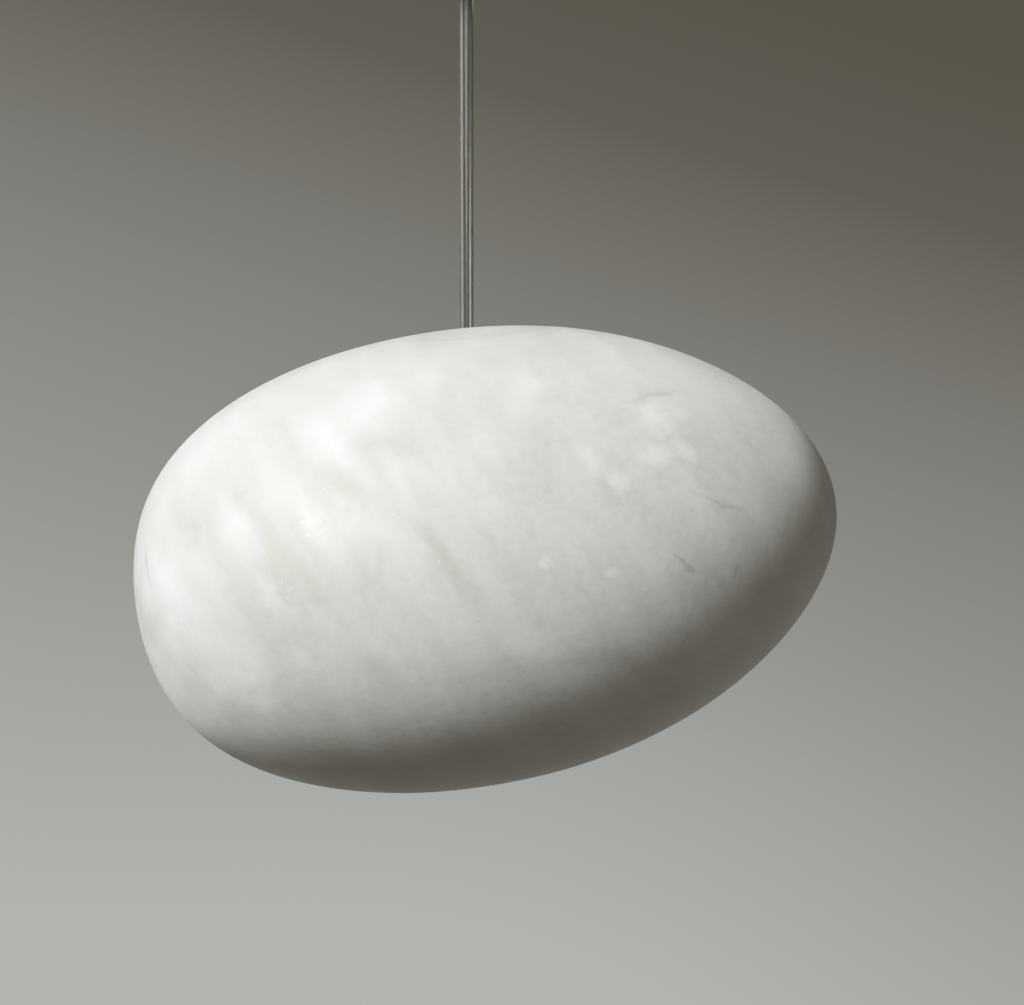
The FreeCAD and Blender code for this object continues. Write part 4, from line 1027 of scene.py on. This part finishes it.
# A very light grey case with a fine spark texture.
finishes["driver_plastic"] = finish_of(
    "moulded_polycarbonate", ("#dfdedb", "#e8e7e4"), (0.4, 0.5), 0.6, 0.03, ior=1.58,
)
# A warmer, duller off-white block.
finishes["terminal_plastic"] = finish_of(
    "moulded_nylon", ("#d9d6cd", "#e3e0d8"), (0.45, 0.55), 0.8, 0.03, ior=1.53,
)
# Grey and soft, with no gloss of its own.
finishes["lead_insulation"] = finish_of(
    "silicone_insulation", ("#b9b4ac", "#c9c5be"), (0.45, 0.55), 1.5, 0.01, ior=1.41,
)
# Nearly black and quite dull, so that a gasket reads as a dark line.
finishes["black_rubber"] = finish_of(
    "black_rubber", ("#1d1d1d", "#2a2a29"), (0.6, 0.75), 0.8, 0.03, ior=1.52,
)
print(len(finishes), "finishes so far")

# %% [markdown]
# The lamp column stands in the hollow, behind the stone, and is reached by lifting the cap. Its
# boards are white and its chips yellow, and a milky tube covers both.

# %% Finishes of the lamp column
# A white lacquer that throws light back out of the column.
finishes["circuit_board"] = finish_of(
    "white_solder_mask", ("#e6e8e6", "#f0f1ef"), (0.3, 0.42), 0.5, 0.01, ior=1.5,
)
# The yellow cover of each light chip, seen unlit.
finishes["led_phosphor"] = finish_of(
    "yellow_phosphor", ("#e6c64a", "#f0d566"), (0.45, 0.6), 0.3, 0.02, ior=1.45,
)
# A milky tube that hides the chips: light goes into it and comes out even.
finishes["opal_acrylic"] = finish_of(
    "opal_acrylic", ("#efefec", "#f6f6f3"), (0.35, 0.45), 5, 0.01, ior=1.49, Subsurface_Weight=0.4,
)
print(len(finishes), "finishes in all, and the stone")

# %% [markdown]
# The frame's record names the finish of each ready-made node. Their shapes stay as they are, and
# only what they are made of is set.

# %% Dress the frame's own nodes
for part in frame["record"]["subparts"]:
    node_mesh = frame["nodes"][part["node"]].data
    finish = finishes.get(part["material_slot"], honed_alabaster)
    if not node_mesh.materials:
        node_mesh.materials.append(finish)
    for index in range(len(node_mesh.materials)):
        node_mesh.materials[index] = finish

# %% [markdown]
# ## Room and light
# The photograph is a quiet one: a wall that runs from warm dark grey above to pale grey below,
# with a pool of light low on it. The wall could be a lit plane, but then its shade would hang on
# the lamps. Here it is the world's own colour, by the direction of view, so it stays as it is
# written. Its level rises with the view and leans to the right.

# %% The wall's level
# The wall's colour from its pale lower left to its dark upper right, by level.
WALL_COLOURS = (
    (-0.17, "#b3b4b0"),
    (-0.08, "#a1a29d"),
    (-0.008, "#908f8a"),
    (0.062, "#7d7b75"),
    (0.12, "#626056"),
    (0.168, "#58554b"),
)
WALL_LEAN = 0.3
# A pool of light low on the wall: where it lies, how far it reaches and how much it lifts.
POOL_PLACE = (0, 0, -0.15)
POOL_REACH = 0.2
POOL_LIFT = -0.045

world = bpy.data.worlds.new("studio")
bpy.context.scene.world = world
world.use_nodes = True
sky = world.node_tree
sky.nodes.clear()
looking = add(sky, "ShaderNodeTexCoord").outputs["Generated"]
way = add(sky, "ShaderNodeSeparateXYZ", {0: looking})
leaning = add(sky, "ShaderNodeMath", {
    0: way.outputs["X"], 1: WALL_LEAN, 2: way.outputs["Z"],
}, operation="MULTIPLY_ADD")
flat_way = add(sky, "ShaderNodeVectorMath", {0: looking, 1: (1, 0, 1)}, operation="MULTIPLY")
from_pool = add(sky, "ShaderNodeVectorMath", {0: flat_way.outputs[0], 1: POOL_PLACE}, operation="DISTANCE")
pool = add(sky, "ShaderNodeMapRange", {
    "Value": from_pool.outputs["Value"], "From Min": 0, "From Max": POOL_REACH,
    "To Min": POOL_LIFT, "To Max": 0,
}, interpolation_type="SMOOTHSTEP")
level = add(sky, "ShaderNodeMath", {0: leaning.outputs[0], 1: pool.outputs[0]}, operation="ADD")
print("the wall's level runs from", WALL_COLOURS[0][0], "to", WALL_COLOURS[-1][0])

# %% [markdown]
# A colour ramp turns the level into the wall's colour. Its stops run from 0 to 1, so the levels are
# first brought to that range, and then each listed colour is one stop.

# %% The wall's colours
low, high = WALL_COLOURS[0][0], WALL_COLOURS[-1][0]
share = add(sky, "ShaderNodeMapRange", {"Value": level.outputs[0], "From Min": low, "From Max": high})
wall = add(sky, "ShaderNodeValToRGB", {"Fac": share.outputs[0]})
wall.color_ramp.elements[0].color = linear(WALL_COLOURS[0][1])
wall.color_ramp.elements[1].color = linear(WALL_COLOURS[-1][1])
for height, colour in WALL_COLOURS[1:-1]:
    wall.color_ramp.elements.new((height - low) / (high - low)).color = linear(colour)
print("wall from", WALL_COLOURS[0][1], "to", WALL_COLOURS[-1][1])

# %% [markdown]
# The camera sees that wall, and so do glossy and clear surfaces, so that metal and the jacket show
# it. To the sides the room is a little darker, which only they see. What the stone itself receives
# from the room is a low, even, warm grey.

# %% Who sees the wall, and who sees the room
SIDE_SHARE = 0.85
SIDE_START = 0.2
SIDE_END = 0.6
ROOM_LIGHT = "#f4ead6"
ROOM_STRENGTH = 0.115

rays = add(sky, "ShaderNodeLightPath")
straight = rays.outputs["Is Camera Ray"]
aside = add(sky, "ShaderNodeMath", {0: way.outputs["X"]}, operation="ABSOLUTE")
dimmed = add(sky, "ShaderNodeMapRange", {
    "Value": aside.outputs[0], "From Min": SIDE_START, "From Max": SIDE_END,
    "To Min": 1.0, "To Max": SIDE_SHARE,
})
strength = add(sky, "ShaderNodeMath", {0: straight, 1: dimmed.outputs[0]}, operation="MAXIMUM")
seen_wall = add(sky, "ShaderNodeBackground", {
    "Color": wall.outputs["Color"], "Strength": strength.outputs[0],
})
room = add(sky, "ShaderNodeBackground", {"Color": linear(ROOM_LIGHT), "Strength": ROOM_STRENGTH})
seen = straight
for ray in ("Is Glossy Ray", "Is Transmission Ray"):
    seen = add(sky, "ShaderNodeMath", {0: seen, 1: rays.outputs[ray]}, operation="MAXIMUM").outputs[0]
choice = add(sky, "ShaderNodeMixShader", {0: seen, 1: room.outputs[0], 2: seen_wall.outputs[0]})
add(sky, "ShaderNodeOutputWorld", {"Surface": choice.outputs[0]})
print("the world has", len(sky.nodes), "nodes")

# %% [markdown]
# One broad window, high on the left and a little in front of the lamp, does nearly all the
# lighting. It stands far off, so that the light falls evenly along the stone, and its size sets
# how soft the edge of the shadow is. A much weaker light stands for the pale wall in front.

# %% The window light
WINDOW_WAY = Vector((-0.497, -0.709, 0.5))
WINDOW_DISTANCE = 4000
WINDOW_SIZE = 900
WINDOW_POWER = 157
WINDOW_COLOUR = "#fcfdfe"
FRONT_WAY = Vector((0.3, -0.88, 0.38))
FRONT_DISTANCE = 3000
FRONT_SIZE = 1600
FRONT_POWER = 3
FRONT_COLOUR = "#fffef8"


def area_light(name, way, distance, size, power, colour):
    """A square soft light that faces the stone's centre from a direction."""
    data = bpy.data.lights.new(name, "AREA")
    data.size = metres(size)
    data.energy = power
    data.color = linear(colour)[:3]
    lamp = placed(name, data)
    lamp.location = stone_centre * MM + way.normalized() * metres(distance)
    lamp.rotation_mode = "QUATERNION"
    lamp.rotation_quaternion = way.to_track_quat("Z", "Y")
    lamp.visible_camera = False


area_light("window", WINDOW_WAY, WINDOW_DISTANCE, WINDOW_SIZE, WINDOW_POWER, WINDOW_COLOUR)
area_light("pale_wall_in_front", FRONT_WAY, FRONT_DISTANCE, FRONT_SIZE, FRONT_POWER, FRONT_COLOUR)
print("window light", WINDOW_SIZE, "mm wide at", WINDOW_DISTANCE, "mm")

# %% [markdown]
# ## The floor
# The floor is a pale disc at a room's depth below the ceiling. A disc with a hard rim would draw a
# line across the wall in the other views, so it fades out to clear towards its rim.

# %% The floor
FLOOR_LEVEL = -2400
FLOOR_RADIUS = 3600
FLOOR_FADE = 2000
FLOOR_SIDES = 96
FLOOR_COLOUR = "#c9cac6"
FLOOR_ROUGHNESS = 0.8

disc = bmesh.new()
bmesh.ops.create_circle(
    disc, cap_ends=True, segments=FLOOR_SIDES, radius=metres(FLOOR_RADIUS),
    matrix=Matrix.Translation(metres(0, 0, FLOOR_LEVEL)),
)
floor = placed_shape("floor", disc)
# Matt and pale, so that it shows a soft shadow and no reflection.
floor_finish, tree, shader, floor_place = new_material("pale_floor")
shader.inputs["Base Color"].default_value = linear(FLOOR_COLOUR)
shader.inputs["Roughness"].default_value = FLOOR_ROUGHNESS
flat = add(tree, "ShaderNodeVectorMath", {0: floor_place, 1: (1, 1, 0)}, operation="MULTIPLY")
outward = add(tree, "ShaderNodeVectorMath", {0: flat.outputs[0]}, operation="LENGTH")
fade = add(tree, "ShaderNodeMapRange", {
    "Value": outward.outputs["Value"], "From Min": metres(FLOOR_FADE), "From Max": metres(FLOOR_RADIUS),
})
clear = add(tree, "ShaderNodeBsdfTransparent")
faded = add(tree, "ShaderNodeMixShader", {
    0: fade.outputs[0], 1: shader.outputs["BSDF"], 2: clear.outputs["BSDF"],
})
output = next(node for node in tree.nodes if node.type == "OUTPUT_MATERIAL")
tree.links.new(faded.outputs[0], output.inputs["Surface"])
dress(floor, floor_finish)
# The floor shows and takes the shadow, but sends no light back up to the stone's underside.
floor.visible_diffuse = False
print("floor", -FLOOR_LEVEL, "mm below the ceiling")

# %% [markdown]
# ## The end
# The picture is shown as it is lit, with the Standard view.

# %% The view
bpy.context.scene.view_settings.view_transform = "Standard"
